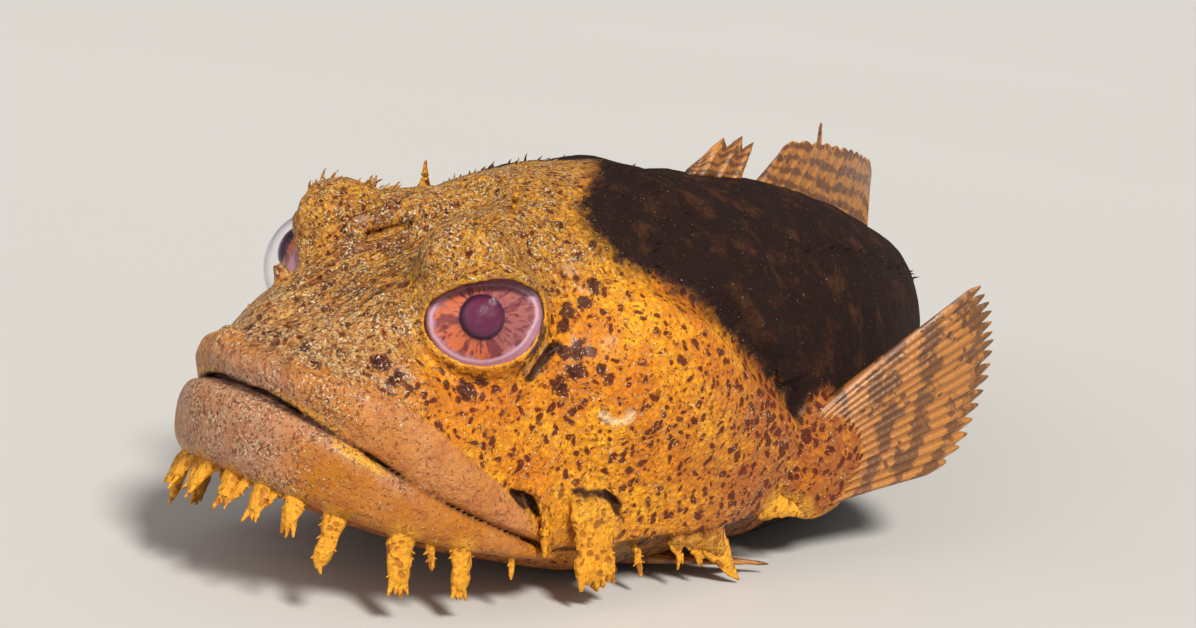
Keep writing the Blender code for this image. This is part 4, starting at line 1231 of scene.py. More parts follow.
@dataclass(frozen=True)
class FinFinish:
    """Thin fin skin: orange-brown crossed by dark bars, clearer between the rays."""

    web: Colour = (0.34, 0.125, 0.026, 1)
    ray: Colour = (0.52, 0.215, 0.034, 1)
    bar: Colour = (0.055, 0.017, 0.010, 1)

    def build(self, effects: Effects) -> bpy.types.Material:
        """Makes the material.

        Args:
            effects: the shared node groups.

        Returns:
            The material.
        """
        material, nodes, shader = new_material("fin_skin")
        place, ray = nodes.place(), nodes.mark("ray")
        bend = nodes.times(nodes.noise(place, 55.0, 3.0, 0.55), 1.9)
        turns = nodes.plus(nodes.times(nodes.mark("out"), 3.6), bend)
        wave = nodes.math("SINE", nodes.times(turns, math.pi * 2))
        torn = nodes.plus(wave, nodes.band(nodes.noise(place, 260.0, 4.0, 0.7), 0.35, 0.65, -0.9, 0.9))
        spots = effects.use(nodes, effects.spots, Place=place, Scale=360.0, Size=0.28)["Mask"]
        dark = nodes.most(nodes.times(nodes.band(torn, -0.3, 0.7), 0.72), nodes.times(spots, 0.8))
        segments = nodes.math("SINE", nodes.times(nodes.mark("far"), 5.2))
        ringed = nodes.times(nodes.band(segments, -0.5, 0.6, 0.0, 0.35), ray)
        relief = effects.use(nodes, effects.hide, Place=place, Grain=1300.0, Wrinkle=330.0)
        bump = nodes.add("ShaderNodeBump", {"Height": nodes.plus(nodes.times(relief["Height"], 0.55), ringed),
                                            "Strength": 0.6, "Distance": 0.0003})
        nodes.feed(shader, {
            "Base Color": nodes.mix(dark, nodes.mix(ray, self.web, self.ray), self.bar),
            "Roughness": nodes.band(relief["Grains"], 0.1, 0.5, 0.5, 0.35), "Normal": bump.outputs[0],
            "Coat Weight": 0.15, "Coat Roughness": 0.25, "Subsurface Weight": 0.1,
            "Subsurface Scale": 0.001, "Subsurface Radius": FLESH_RADII})
        return material


@dataclass(frozen=True)
class IrisFinish:
    """A salmon iris with uneven maroon spokes, mauve to the rear, and a lilac outer ring, faded towards the
    top as painted shade under the upper lid.
    """

    salmon: Colour = (0.62, 0.150, 0.050, 1)
    mauve: Colour = (0.33, 0.105, 0.090, 1)
    spoke: Colour = (0.13, 0.018, 0.030, 1)
    ring: Colour = (0.42, 0.205, 0.275, 1)
    pale: Colour = (0.66, 0.44, 0.50, 1)
    pupil: Colour = (0.112, 0.010, 0.040, 1)
    pupil_edge: Colour = (0.012, 0.003, 0.018, 1)

    def build(self) -> bpy.types.Material:
        """Makes the material, which reads each point's direction and distance from the pupil."""
        material, nodes, shader = new_material("iris")
        spin_x, spin_y, out, edge = (nodes.mark(n) for n in ("spin_x", "spin_y", "out", "edge"))
        polar = nodes.add("ShaderNodeCombineXYZ", {0: spin_x, 1: spin_y, 2: nodes.times(out, 0.6)}).outputs[0]
        fine = nodes.noise(polar, 9.0, 3.0, 0.6)
        cloud = nodes.noise(nodes.place(), 520.0, 4.0, 0.65)
        thin = nodes.times(nodes.band(fine, 0.49, 0.60), nodes.band(cloud, 0.36, 0.52, 0.3, 1.0))
        # the ring and its pale line fade towards the top: painted shade under the upper lid
        lower = nodes.band(spin_y, 0.25, 0.75, 0.85, 0.35)
        start = nodes.plus(edge, nodes.times(nodes.less(cloud, 0.5), 0.5))
        line = nodes.math("ABSOLUTE", nodes.less(nodes.plus(edge, nodes.times(cloud, 0.08)), 0.95))
        colour = nodes.mix(nodes.band(spin_x, -0.35, 0.75), self.salmon, self.mauve)
        for share, over in (
                (nodes.times(thin, 0.85), self.spoke),
                (nodes.band(nodes.noise(polar, 2.6, 2.0, 0.5), 0.52, 0.60, 0.0, 0.78), self.spoke),
                (nodes.band(cloud, 0.50, 0.72, 0.0, 0.3), self.salmon),
                (nodes.times(nodes.band(start, 0.80, 0.90), lower), self.ring),
                (nodes.times(nodes.band(line, 0.045, 0.012, 0.0, 0.75), lower), self.pale),
                (nodes.band(out, 0.395, 0.375), self.pupil_edge),
                (nodes.band(out, 0.385, 0.27), self.pupil)):
            colour = nodes.mix(share, colour, over)
        bump = nodes.add("ShaderNodeBump", {"Height": fine, "Strength": 0.5, "Distance": 0.0004})
        nodes.feed(shader, {"Base Color": colour, "Normal": bump.outputs[0], "Specular IOR Level": 0.3,
                            "Roughness": nodes.band(out, 0.37, 0.41, 0.06, 0.35)})
        return material


@dataclass(frozen=True)
class CorneaFinish:
    """The clear lilac window over the eye, milkier where it is seen edge on."""

    tint: Colour = (0.30, 0.22, 0.44, 1)
    haze: Colour = (0.46, 0.38, 0.58, 1)

    def build(self) -> bpy.types.Material:
        """Makes the material."""
        material, nodes, shader = new_material("cornea")
        facing = nodes.add("ShaderNodeLayerWeight", {"Blend": 0.42}).outputs["Facing"]
        cloud = nodes.noise(nodes.place(), 330.0, 2.0)
        milky = nodes.times(nodes.band(facing, 0.40, 0.95, 0.03, 0.9), nodes.band(cloud, 0.2, 0.7, 0.85, 1.0))
        nodes.feed(shader, {"Base Color": nodes.mix(cloud, self.tint, self.haze), "Alpha": milky,
                            "Roughness": 0.04, "Specular IOR Level": 1.0, "Coat Weight": 1.0,
                            "Coat Roughness": 0.02})
        return material


@dataclass(frozen=True)
class Finishes:
    """Every material of the fish."""

    skin: bpy.types.Material
    fin: bpy.types.Material
    iris: bpy.types.Material
    cornea: bpy.types.Material

    @classmethod
    def build(cls) -> "Finishes":
        """Makes them all."""
        effects = Effects()
        return cls(SkinFinish().build(effects), FinFinish().build(effects), IrisFinish().build(),
                   CorneaFinish().build())


# The skin


# Where the clay is worked, as ranges of X, Y and Z, and the nodes that the skin stands for
NEAR_EYE = ((4, 62), (-42, 0), (26, 69))
NEAR_MOUTH = ((-8, 60), (-40, 0), (0, 46))
NEAR_RIGHT_EYE = ((14, 50), (4, 40), (30, 62))
NEAR_BALLS = ((18, 44), (-34, 34), (30, 58))
FLESH_NODES = ("head", "upper_lip", "lower_lip", "lower_jaw", "gill_cover_left", "gill_cover_right", "trunk",
               "tail_front", "tail_stalk")


def above_floor(x: Array, y: Array, z: Array) -> Array:
    """Height over the floor."""
    return z


@dataclass
class SkinSculpt:
    """The fish's whole skin: one closed surface shaped from soft forms."""

    head_step: float = 0.46
    tail_step: float = 1.0
    side_step: float = 0.5
    ends: tuple[float, float] = (-8.0, 256)
    half_width: float = 43
    heights: tuple[float, float] = (-1.0, 70.5)
    most_triangles: int = 188000
    straight: Array = field(init=False)
    hollows: list[tuple[Form, Array]] = field(default_factory=list)
    blotches: list[tuple[Array, float]] = field(default_factory=list)
    pale_lines: list[Form] = field(default_factory=list)

    def axes(self) -> tuple[Array, Array, Array]:
        """The places at which the clay is measured, closer together at the head."""
        x = [self.ends[0]]
        while x[-1] < self.ends[1]:
            share = float(ramp(np.array(x[-1]), 98, 140))
            x.append(x[-1] + self.head_step + (self.tail_step - self.head_step) * share)
        y = np.arange(0, self.half_width, self.side_step)[::-1] * -1
        return np.array(x), y, np.arange(*self.heights, self.side_step)

    def shape_head(self, clay: Clay) -> None:
        """Adds the head's masses, brows, lids, lips and gill edges."""
        clay.add(body_form)
        clay.add(ball_form((29.4, -16.0, 54.4), (8.2, 7.2, 6.2), self.brow_axes()), 4.0, NEAR_EYE)
        clay.add(ball_form((39.0, -10.5, 55.4), (9.0, 6.0, 4.2), self.brow_axes()), 4.0, NEAR_EYE)
        clay.add(EYE.mound(), 3.0, NEAR_EYE)
        clay.take(EYE.clearing, 2.2, NEAR_EYE)
        clay.add(EYE.lids, 1.0, NEAR_EYE)
        clay.take(strand_form([(8, 0, 45), (20, 0, 52), (34, 0, 58), (48, 0, 64)], [3.5, 4.5, 4.2, 1.5]), 4.0,
                  ((0, 60), (-14, 0), (34, 70)))
        clay.add(ball_form((66, -27, 34), (22, 9.8, 17)), 6.0, ((34, 98), (-43, -8), (8, 62)))
        clay.take(strand_form(SHOULDER, [0.6, 1.8, 2.4, 2.4, 1.8, 0.8]), 5.0, bounds_of(SHOULDER, 9))
        for start, end in ((7, 15), (11, 21), (15, 27), (22, 35), (29, 42)):
            groove = [(start, -3.0 - 0.12 * end, float(BODY.top.at(np.array(start))) - 0.3),
                      (end, -0.5 - 0.05 * end, float(BODY.top.at(np.array(end))) - 1.6)]
            clay.take(strand_form(groove, [0.35, 0.5]), 1.4, bounds_of(groove, 4))

    def brow_axes(self) -> Array:
        """Directions of the ridge over the left eye."""
        along = unit((0.95, -0.1, 0.25))
        out = np.array([0, -1, -0.15])
        out = unit(out - along * (out @ along))
        return np.array([along, out, np.cross(along, out)])

    def lip_fillet(self, x: Array, y: Array, z: Array) -> Array:
        """How softly the upper lip runs into the snout: without an edge in front, with one behind."""
        return 1.0 + 5.5 * ramp(x, 15, 3) * ramp(z - MOUTH_LINE.at(x), 0.5, 3.5)

    def shape_mouth(self, clay: Clay) -> None:
        """Adds the lips and parts them."""
        clay.add(UPPER_LIP.form, self.lip_fillet, NEAR_MOUTH)
        clay.add(LOWER_LIP.form, 0.6, NEAR_MOUTH)
        clay.take(mouth_slit, 0.4, NEAR_MOUTH)

    def shape_details(self, clay: Clay) -> None:
        """Adds folds, pits, nostrils and the roots of the fringe."""
        for line in PALE_LINES:
            points = [clay.meet(spot, FRONT_QUARTER) for spot in line]
            self.pale_lines.append(strand_form(points, np.linspace(0.14, 0.24, len(points))))
        self.blotches = [(clay.meet(spot, FRONT_QUARTER), radius) for *spot, radius in BLOTCHES]
        for width, flat, line in HOLLOWS:
            points = [clay.meet(spot, FRONT_QUARTER) for spot in line]
            across = np.cross(points[-1] - points[0], FRONT_QUARTER)
            radii = width * np.sin(np.linspace(0.6, math.pi - 0.6, len(points)))
            hollow = strand_form(points, radii, flat, across)
            self.hollows.append((hollow, np.mean(points, axis=0)))
            clay.take(hollow, 0.3, bounds_of(points, 3))
        for start, end, out, back, thin in ((-110, -25, 15.8, 1.0, 0.5), (150, 235, 13.2, 3.0, 0.45)):
            points, radii = EYE.fold(start, end, out, back, thin)
            clay.take(strand_form(points, radii), 1.0, bounds_of(points, 3))
        for base, way, length, radius in NOSTRILS:
            start, tip = np.array(base) - unit(way) * 2, np.array(base) + unit(way) * (length + 0.2)
            clay.add(strand_form([start, tip], [radius * 1.6, radius]), 1.2, bounds_of([start, tip], 4))
            bore = [np.array(base) + unit(way) * 0.2, tip + unit(way)]
            clay.take(strand_form(bore, [radius * 0.4, radius * 0.55]), 0.3, bounds_of(bore, 3))
        for lobe in (*BARBELS, *CROWN_FLAPS, *COVER_FLAPS):
            self.add_root(clay, lobe, 4, 2, 0.7, 1.6, 5)
        for lobe, count in zip((*CHEEK_FLAPS, *COVER_SPINES), (3, 3, 5, 2)):
            self.add_root(clay, lobe, 6, count, max(lobe.thin, 0.28), 1.2, 7)
        middle = (PECTORAL_TOP + PECTORAL_LOW) / 2
        up = unit(PECTORAL_TOP - PECTORAL_LOW)
        out = unit(np.array([0.85, -0.22, 0.43]))
        out = unit(out - up * (out @ up))
        clay.add(ball_form(middle + out * 2.5, (10.8, 9.5, 2.3), (up, out, np.cross(up, out))), 3.0,
                 bounds_of([middle], 18))

    def add_root(self, clay: Clay, lobe: Lobe, steps: int, count: int, flat: float, blend: float,
                 margin: float) -> None:
        """Grows the first part of a lobe out of the skin.

        Args:
            clay: the clay.
            lobe: the lobe.
            steps: the number of points along the whole lobe.
            count: how many of them the clay takes.
            flat: the part's thickness as a share of its width.
            blend: the width of the fillet round it.
            margin: the room kept round it.
        """
        points = lobe.line(steps)[:count]
        radii = lobe.widths(steps)[:count] * np.linspace(1, 0.6, count)
        across = np.cross(lobe.flat_axis(), unit(lobe.way))
        clay.add(strand_form(points, radii, flat, across), blend, bounds_of(points, margin))

    def relief(self, x: Array, y: Array, z: Array) -> Array:
        """Lumps and hollows over the whole skin, stronger on the crown."""
        rough = 0.45 + 0.65 * ramp(z, 42, 54)
        lumps = Roughcast(11, 6.5).at(x, y, z) * 0.34 + Roughcast(12, 2.6).at(x, y, z) * 0.14
        return (lumps + Roughcast(13, 1.3).at(x, y, z) * 0.10) * rough

    def sculpt(self) -> tuple[Array, Array]:
        """Shapes the clay and takes its surface."""
        clay = Clay(*self.axes())
        self.shape_head(clay)
        self.shape_details(clay)
        self.shape_mouth(clay)
        clay.swell(self.relief)
        clay = clay.mirrored()
        clay.take(RIGHT_EYE.window, 0.8, NEAR_RIGHT_EYE)
        clay.take(EYE.ball, 0.15, NEAR_BALLS)
        clay.take(above_floor, 0.0)
        log.info("clay %s", clay.depth.shape)
        return clay.surface()

    def mouth_marks(self, x: Array, y: Array, z: Array) -> dict[str, Array]:
        """Shares of the lips' own colours, their yellow rims and the shade between them."""
        upper, lower = UPPER_LIP.form(x, y, z), LOWER_LIP.form(x, y, z)
        reading = LOWER_LIP.reading(x, y)
        share, outward = reading["share"], reading["outward"]
        seam = z - MOUTH_LINE.at(reading["x"])
        soft = 0.8 + 2.2 * ramp(share, 0.35, 0.15)
        lip = ramp(np.minimum(upper, lower), soft, 0.1)
        near = ramp(np.abs(outward), 8, 5) * (x < 50)
        over = hump(seam, 0.0, 0.3, 1.0, 2.0) * hump(share, 0.08, 0.16, 0.34, 0.42)
        under = hump(-seam, 0.0, 0.2, 1.0, 1.7) * hump(share, 0.34, 0.39, 0.48, 0.53)
        edge = hump(-seam, 0.0, 0.3, 1.2, 3.0) * ramp(share, 0.65, 0.55)
        inside = ramp(outward, 1.8, 0.4)
        # the jaw under the lower lip, which takes the dark belly colour as painted shade
        chin = ramp(lower, 0.4, 2.2) * (x < 46) * (z < MOUTH_LINE.at(x) - 2)
        front = ramp(share, 0.33, 0.12)
        # painted shade in the slit between the lips
        gap = ramp(np.abs(seam), 0.75, 0.25) * (0.95 - 0.35 * ramp(share, 0.5, 0.8)) * inside
        return {"lip": lip, "rim": np.maximum(over * 0.75, under) * near, "shade": gap * near * (1 - under),
                "pink": ramp(upper, 1.0, 0.0), "cool": np.maximum(front, edge * 0.6) * lip,
                "gritty": np.maximum(ramp(share, 0.62, 0.15), edge) * lip, "chin": chin * (1 - lip)}

    def near(self, here: Array, spot: Sequence[float], far: float, close: float) -> Array:
        """A soft disc of skin round a spot, measured more across than inwards.

        Args:
            here: rows of X, Y and Z.
            spot: the disc's middle.
            far: the distance at which it ends.
            close: the distance within which it is full.

        Returns:
            Each point's share, from 0 to 1.
        """
        way = here - np.array(spot)
        inwards = way @ unit(FRONT_QUARTER)
        return ramp(np.sqrt(np.maximum((way ** 2).sum(1) - 0.6 * inwards ** 2, 0)), far, close)

    def spot_marks(self, here: Array) -> dict[str, Array]:
        """Shares of the painted shade in the pits, creases and nostrils, the broad blotches and the yellow of
        the flaps' roots.
        """
        shade, blotch, glow = (np.zeros(len(here)) for _ in range(3))
        # painted shade inside the pits and creases
        for hollow, middle in self.hollows:
            close = np.linalg.norm(here - middle, axis=1) < 8
            shade[close] = np.maximum(shade[close], ramp(hollow(*here[close].T), 0.40, 0.05) * 0.95)
        # painted shade in the nostrils' mouths
        for base, way, length, radius in NOSTRILS:
            mouth = np.array(base) + unit(way) * length
            shade = np.maximum(shade, self.near(here, mouth, radius * 0.9, radius * 0.3) * 0.9)
        for spot, radius in self.blotches:
            blotch = np.maximum(blotch, self.near(here, spot, 1.7 * radius, 0.0))
        for lobe in (*BARBELS, *COVER_FLAPS, COVER_SPINES[1], *CHEEK_FLAPS):
            for spot in lobe.line(5)[1:]:
                share = self.near(here, spot, lobe.width * 1.2 + 0.4, lobe.width * 0.6)
                glow = np.maximum(glow, share * lobe.glow)
        return {"shade": shade, "blotch": blotch, "glow": glow}

    def marks(self, p: Array) -> dict[str, Array]:
        """Each point's share of every marking that the skin finish reads.

        Args:
            p: rows of X, Y and Z in the straight frame.

        Returns:
            The shares by name.
        """
        x, y, z = p[:, 0], -np.abs(p[:, 1]), p[:, 2]
        here = np.stack([x, y, z], 1)
        mouth, spot = self.mouth_marks(x, y, z), self.spot_marks(here)
        glow = spot["glow"]
        crown = ramp(z - BODY.top.at(x), -13, -5) * ramp(x, 96, 70)
        snout = ramp(x, 24, 8) * ramp(z, 26, 36)
        dust = np.maximum(crown, snout) * 0.9
        fin_root = ramp(np.linalg.norm((here - (103.5, -35, 20)) / (9, 6, 13), axis=1), 1.25, 0.8)
        # The back above and behind these lines takes painted shadow
        back = ramp(z - BACK_SHADOW_LINE.at(x), -6.0, 4.0) * ramp(x - NAPE_SHADOW_LINE.at(y), -5.0, 7.0)
        back = back * (1 - 0.85 * fin_root)
        # the underside near the floor, darker as painted shade
        under = ramp(z - BODY.belly.at(x), 9, 2)
        # painted shade under the gill cover's lower edge
        cover_shade = ramp(COVER.lower_edge.at(x) - z, 0.0, 0.8) * hump(x, 53, 58, 93, 97)
        lid = ramp(EYE.gap(x, y, z), 0.9, 0.4) * (EYE.local(x, y, z)[2] > 1.5)
        lip = mouth["lip"] * (1 - glow)
        bare = 1 - lip
        between = ramp(np.abs(y + 3.5), 8, 4) * hump(x, 8, 14, 32, 44)
        pale = np.max([ramp(line(x, y, z), 0.6, 0.15) for line in self.pale_lines], axis=0) * 0.7
        shade = np.max([mouth["shade"], spot["shade"], cover_shade * 0.6 * (1 - glow)], axis=0) * (1 - pale)
        return {"lip": lip, "pink": mouth["pink"], "cool": mouth["cool"], "dust": dust * bare * (1 - back),
                "grey": ramp(x, 26, 6) * bare, "streak": between * ramp(z, 42, 46),
                # a floor of pale specks over the whole skin gives painted glints; dust adds sand
                "sandy": np.maximum(0.55 + 0.45 * dust, mouth["gritty"]) * (1 - back) * (1 - lid),
                "blotch": spot["blotch"], "shade": shade, "pale": pale, "back": back, "flecked": glow,
                "rim": np.max([mouth["rim"], glow, lid * 0.6], axis=0),
                "rear": np.maximum(ramp(x, 56, 90) * ramp(z, 62, 34), fin_root),
                "belly": np.maximum(under, mouth["chin"]) * bare, "plain": lid}

    def build(self, finishes: Finishes) -> Piece:
        """Makes the skin and sets it in place of the flesh nodes.

        Args:
            finishes: the fish's materials.

        Returns:
            The skin.
        """
        points, faces = self.sculpt()
        skin = new_object("skin", triangle_mesh("skin", points, faces))
        if len(faces) > self.most_triangles:
            thin = skin.modifiers.new("thin", "DECIMATE")
            thin.ratio = self.most_triangles / len(faces)
            applied(skin)
        points = points_of(skin.data)
        for name, values in self.marks(points).items():
            store(skin.data, name, values)
        skin.data.vertices.foreach_set("co", MIDLINE.place(points).astype(np.float32).ravel())
        skin.data.update()
        self.straight = points
        skin.data.materials.clear()
        skin.data.materials.append(finishes.skin)
        skin.data.shade_smooth()
        return ride(skin, "skin", *FLESH_NODES)


# Eyes


@dataclass(frozen=True)
class Eye:
    """One eye: a ball with a spoked iris and a domed lens, under a clear window."""

    side: Side
    pupil_shift: tuple[float, float]
    around: int = 96
    lens_radius: float = 3.55

    def rings(self) -> list[tuple[float, float]]:
        """The ball's outline from the back of the eye to the top of the lens, as (radius, height)."""
        size, inner = EYE.radius - 0.35, self.lens_radius
        back = [(size * math.sin(a), -size * math.cos(a)) for a in np.linspace(0.05, math.pi * 0.62, 16)]
        wide, low = back[-1]
        iris = [(wide + (inner - wide) * t, low + 2.6 * t ** 0.8 - 0.35 * math.sin(math.pi * t))
                for t in np.linspace(0.04, 1, 14)]
        lens = [(inner * 0.99 * math.cos(a), iris[-1][1] + 2.15 * math.sin(a))
                for a in np.linspace(0.02, math.pi / 2 - 0.03, 10)]
        return back + iris + lens

    def placed(self, rows: Array) -> Array:
        """Turns the eye's own axes to the fish's side and bends the result with the fish."""
        spots = np.array(EYE.centre) + rows @ EYE.axes()
        if self.side is Side.RIGHT:
            spots = spots * (1, -1, 1)
        return MIDLINE.place(spots)

    def revolve(self, name: str, outline: list[tuple[float, float]],
                shift: tuple[float, float] = (0.0, 0.0)) -> tuple[Piece, Array]:
        """A closed surface round the gaze line.

        Args:
            name: the piece's name.
            outline: radius and height of each ring, back to front.
            shift: how far the front of it is moved rearwards and upwards.

        Returns:
            The piece, and its points in the eye's own axes.
        """
        angles = np.linspace(0, 2 * math.pi, self.around, endpoint=False)
        rings = [np.stack([radius * np.cos(angles), radius * np.sin(angles), np.full(self.around, height)], 1)
                 for radius, height in outline]
        points = np.concatenate([[(0, 0, outline[0][1])], *rings, [(0, 0, outline[-1][1] + 0.02)]])
        faces = tube_faces(len(outline), self.around)
        if self.side is Side.RIGHT:
            faces = faces[:, ::-1]
        moved = points + np.outer(ramp(points[:, 2], 3.0, 6.5), (*shift, 0))
        return mesh_piece(name, self.placed(moved), faces), points

    def build(self, finishes: Finishes) -> list[Piece]:
        """Makes the ball and its window.

        Args:
            finishes: the fish's materials.

        Returns:
            Both pieces.
        """
        word = self.side.name.lower()
        ball, rows = self.revolve(f"eyeball_{word}", self.rings(), self.pupil_shift)
        reach = np.hypot(rows[:, 0], rows[:, 1])
        safe = np.maximum(reach, 1e-6)
        for title, values in (("spin_x", rows[:, 0] / safe), ("spin_y", rows[:, 1] / safe),
                              ("out", np.where(rows[:, 2] > 0, reach / (EYE.radius - 0.6), 1.0)),
                              ("edge", EYE.spread(rows[:, 0], rows[:, 1]))):
            store(ball.data, title, values)
        ball.data.materials.append(finishes.iris)
        dome = [(EYE.radius * math.cos(a), EYE.radius * math.sin(a))
                for a in np.linspace(0.08, math.pi / 2 - 0.03, 18)]
        rim = (dome[0][0] * 0.97, dome[0][1] - 0.3)
        window, _ = self.revolve(f"cornea_{word}", [rim, *dome])
        window.data.materials.append(finishes.cornea)
        return [ride(ball, "eye", f"eye_{word}"), ride(window, "eye")]


# Fins


@dataclass(frozen=True)
class Fin:
    """A fin: a thin web of skin over rays that fork towards its edge."""

    name: str
    nodes: tuple[str, ...]
    rays: int
    root: Callable[[Array], Array]
    tip: Callable[[Array], Array]
    across: tuple[float, float, float] = (0, 1, 0)
    root_half: float = 0.8
    tip_half: float = 0.16
    ridge: float = 0.5
    scallop: float = 0.07
    bow: float = 0.0
    wave: float = 0.6
    per_ray: int = 8
    rows: int = 18
    bars: float = 1.0
    floor_gap: float = 0.05

    def grid(self) -> tuple[Array, Array, Array, Array]:
        """The fin's middle surface.

        Returns:
            Points by row and column, half thickness, share of ray, and share of the way out.
        """
        u = np.linspace(0, 1, self.rays * self.per_ray + 1)
        t = np.linspace(0, 1, self.rows + 1)
        phase = u * self.rays % 1.0 - 0.5
        pitch = np.abs(phase)
        seeds = np.random.default_rng(len(self.name) * 7 + self.rays)
        own = np.interp(u * self.rays, np.arange(self.rays + 1), seeds.uniform(-1, 1, self.rays + 1))
        root, tip = self.root(u), self.tip(u)
        notch = 1 - self.scallop * (pitch * 2) ** 1.5 + self.scallop * 0.25 * own
        line = t[:, None]
        reach = line * (1 + (notch - 1) * line ** 3)
        points = root[None] + (tip - root)[None] * reach[..., None]
        billow = (self.bow * np.sin(math.pi * line * 0.5) * line
                  + self.wave * line * np.sin(u * 9.0 + own * 0.8) * 0.6
                  + 0.125 * line * np.cos(phase * 2 * math.pi))
        points = points + unit(self.across) * billow[..., None]
        fork = np.maximum(line - 0.45, 0) * 0.32
        ray = np.exp(-((pitch[None] - fork) / 0.11) ** 2)
        web = self.root_half * (1 - line) ** 1.3 + self.tip_half
        half = web + self.ridge * ray * (1 - 0.75 * line)
        half[-1] = 0.10
        half[:, 0] = half[:, -1] = 0.12
        return points, half, ray, np.broadcast_to(line, ray.shape)

    def build(self, finishes: Finishes, side: Side = Side.LEFT, sink: float = 1.5) -> Piece:
        """Makes the fin and sets it in place of its nodes.

        Args:
            finishes: the fish's materials.
            side: the side of the fish it grows on.
            sink: how far its root goes into the skin.

        Returns:
            The fin.
        """
        points, half, ray, out = self.grid()
        points = np.concatenate([(points[0] - unit(points[1] - points[0]) * sink)[None], points])
        half, ray, out = (np.concatenate([rows[:1], rows]) for rows in (half, ray, out))
        normal = unit(np.cross(np.gradient(points, axis=1), np.gradient(points, axis=0)))
        step = half.size
        spots = np.concatenate([points + normal * half[..., None],
                                points - normal * half[..., None]]).reshape(-1, 3)
        if side is Side.RIGHT:
            spots = spots * (1, -1, 1)
        spots[:, 2] = np.maximum(spots[:, 2], self.floor_gap)
        index = np.arange(step).reshape(half.shape)
        front = np.stack([index[:-1, :-1], index[:-1, 1:], index[1:, 1:], index[1:, :-1]], -1).reshape(-1, 4)
        border = np.concatenate([index[0, :-1], index[:-1, -1], index[-1, :0:-1], index[:0:-1, 0]])
        follow = np.roll(border, -1)
        edge = np.stack([border, border + step, follow + step, follow], 1)
        faces = np.concatenate([front, front[:, ::-1] + step, edge])
        if inside_out(spots, np.concatenate([faces[:, [0, 1, 2]], faces[:, [0, 2, 3]]])):
            faces = faces[:, ::-1]
        fin = mesh_piece(self.name, MIDLINE.place(spots), faces)
        length = np.linalg.norm(np.diff(points, axis=0), axis=2).cumsum(axis=0)
        far = np.concatenate([0 * length[:1], length])
        for name, values in (("ray", ray), ("out", out * self.bars), ("far", far)):
            store(fin.data, name, np.tile(values.ravel(), 2))
        fin.data.materials.append(finishes.fin)
        return ride(fin, "fin", *self.nodes)


def on_top(u: Array, low: float, high: float) -> Array:
    """Points along the back."""
    x = low + (high - low) * u
    return np.stack([x, 0 * x, BODY.top.at(x) + 0.3], 1)


def soft_dorsal(low: float = 119, high: float = 243) -> Fin:
    """The long low fin along the back."""
    def tip(u: Array) -> Array:
        """Points along the fin's edge."""
        root = on_top(u, low, high)
        share = np.clip((root[:, 0] - low) / (high - low), 0, 1)
        tall = 10 + 7 * np.sin(math.pi * share ** 0.8)
        return root + np.stack([tall * 0.74, 0 * tall, tall * 0.67], 1)

    return Fin("soft_dorsal", ("soft_dorsal_front", "soft_dorsal_rear"), 28,
               lambda u: on_top(u, low, high), tip, rows=14)


def spiny_dorsal(low: float = 98, high: float = 112) -> Fin:
    """Three short stout spines joined by thick skin."""
    def tip(u: Array) -> Array:
        """Points along the fin's edge, highest at each spine."""
        root = on_top(u, low, high)
        tall = np.interp(u * 6, np.arange(7), (3, 8.5, 6.5, 9.5, 6.5, 8.5, 2.5))
        return root + np.stack([tall * 0.7, 0 * tall, tall * 0.71], 1)

    return Fin("spiny_dorsal", ("spiny_dorsal_fin",), 3, lambda u: on_top(u, low, high), tip,
               root_half=1.0, ridge=0.7, scallop=0.02, per_ray=16, rows=14, wave=0.1)


def anal_fin(low: float = 158, high: float = 241, length: float = 15) -> Fin:
    """The fin under the tail, swept back where the body lies close to the floor."""
    def root(u: Array) -> Array:
        """Points along the belly."""
        x = low + (high - low) * u
        return np.stack([x, 0 * x, BODY.belly.at(x) - 0.3], 1)

    def tip(u: Array) -> Array:
        """Points along the fin's edge, kept off the floor."""
        base = root(u)
        drop = np.minimum(base[:, 2] - 0.7, 0.82 * length)
        return base + np.stack([np.sqrt(length ** 2 - drop ** 2), 0 * drop, -drop], 1)

    return Fin("anal_fin", ("anal_fin_front", "anal_fin_rear"), 22, root, tip, rows=14)


def caudal_fin(start: float = 252.3, length: float = 46) -> Fin:
    """The rounded fan of the tail."""
    top, low = float(BODY.top.at(np.array(252.0))), float(BODY.belly.at(np.array(252.0)))
    centre, half = (top + low) / 2, (top - low) / 2 - 0.6

    def root(u: Array) -> Array:
        """Points up the end of the tail."""
        return np.stack([start + 0 * u, 0 * u, centre + half * (2 * u - 1)], 1)

    def tip(u: Array) -> Array:
        """Points along the fan's rounded edge."""
        angle = math.radians(32) * (2 * u - 1)
        reach = length * (1 - 0.10 * np.abs(2 * u - 1) ** 3)
        return root(u) + np.stack([np.cos(angle) * reach, 0 * u, np.sin(angle) * reach], 1)

    return Fin("tail_fin", ("caudal_fin",), 14, root, tip, root_half=1.3, ridge=0.55, rows=26, wave=1.0,
               per_ray=10)


def pectoral_fin(side: Side) -> Fin:
    """The broad fan behind the gill cover, folded half back."""
    top_way, low_way = unit((0.72, -0.22, 0.64)), unit((0.91, -0.22, 0.22))

    def root(u: Array) -> Array:
        """Points down the fin's root."""
        return PECTORAL_TOP + (PECTORAL_LOW - PECTORAL_TOP) * u[:, None]

    def tip(u: Array) -> Array:
        """Points along the fan's edge, kept off the floor."""
        way = unit(top_way + (low_way - top_way) * u[:, None])
        reach = 40 * (0.78 + 0.22 * np.sin(math.pi * (0.15 + 0.6 * u)) - 0.22 * u ** 4)
        end = root(u) + way * reach[:, None]
        end[:, 2] = np.maximum(end[:, 2], 1.0)
        return end

    middle = np.array([0.5])
    across = unit(np.cross((tip(middle) - root(middle))[0], PECTORAL_TOP - PECTORAL_LOW))
    word = side.name.lower()
    return Fin(f"pectoral_{word}", (f"pectoral_fin_{word}",), 16, root, tip, tuple(across),
               root_half=1.1, bow=2.5, rows=22, wave=0.7)


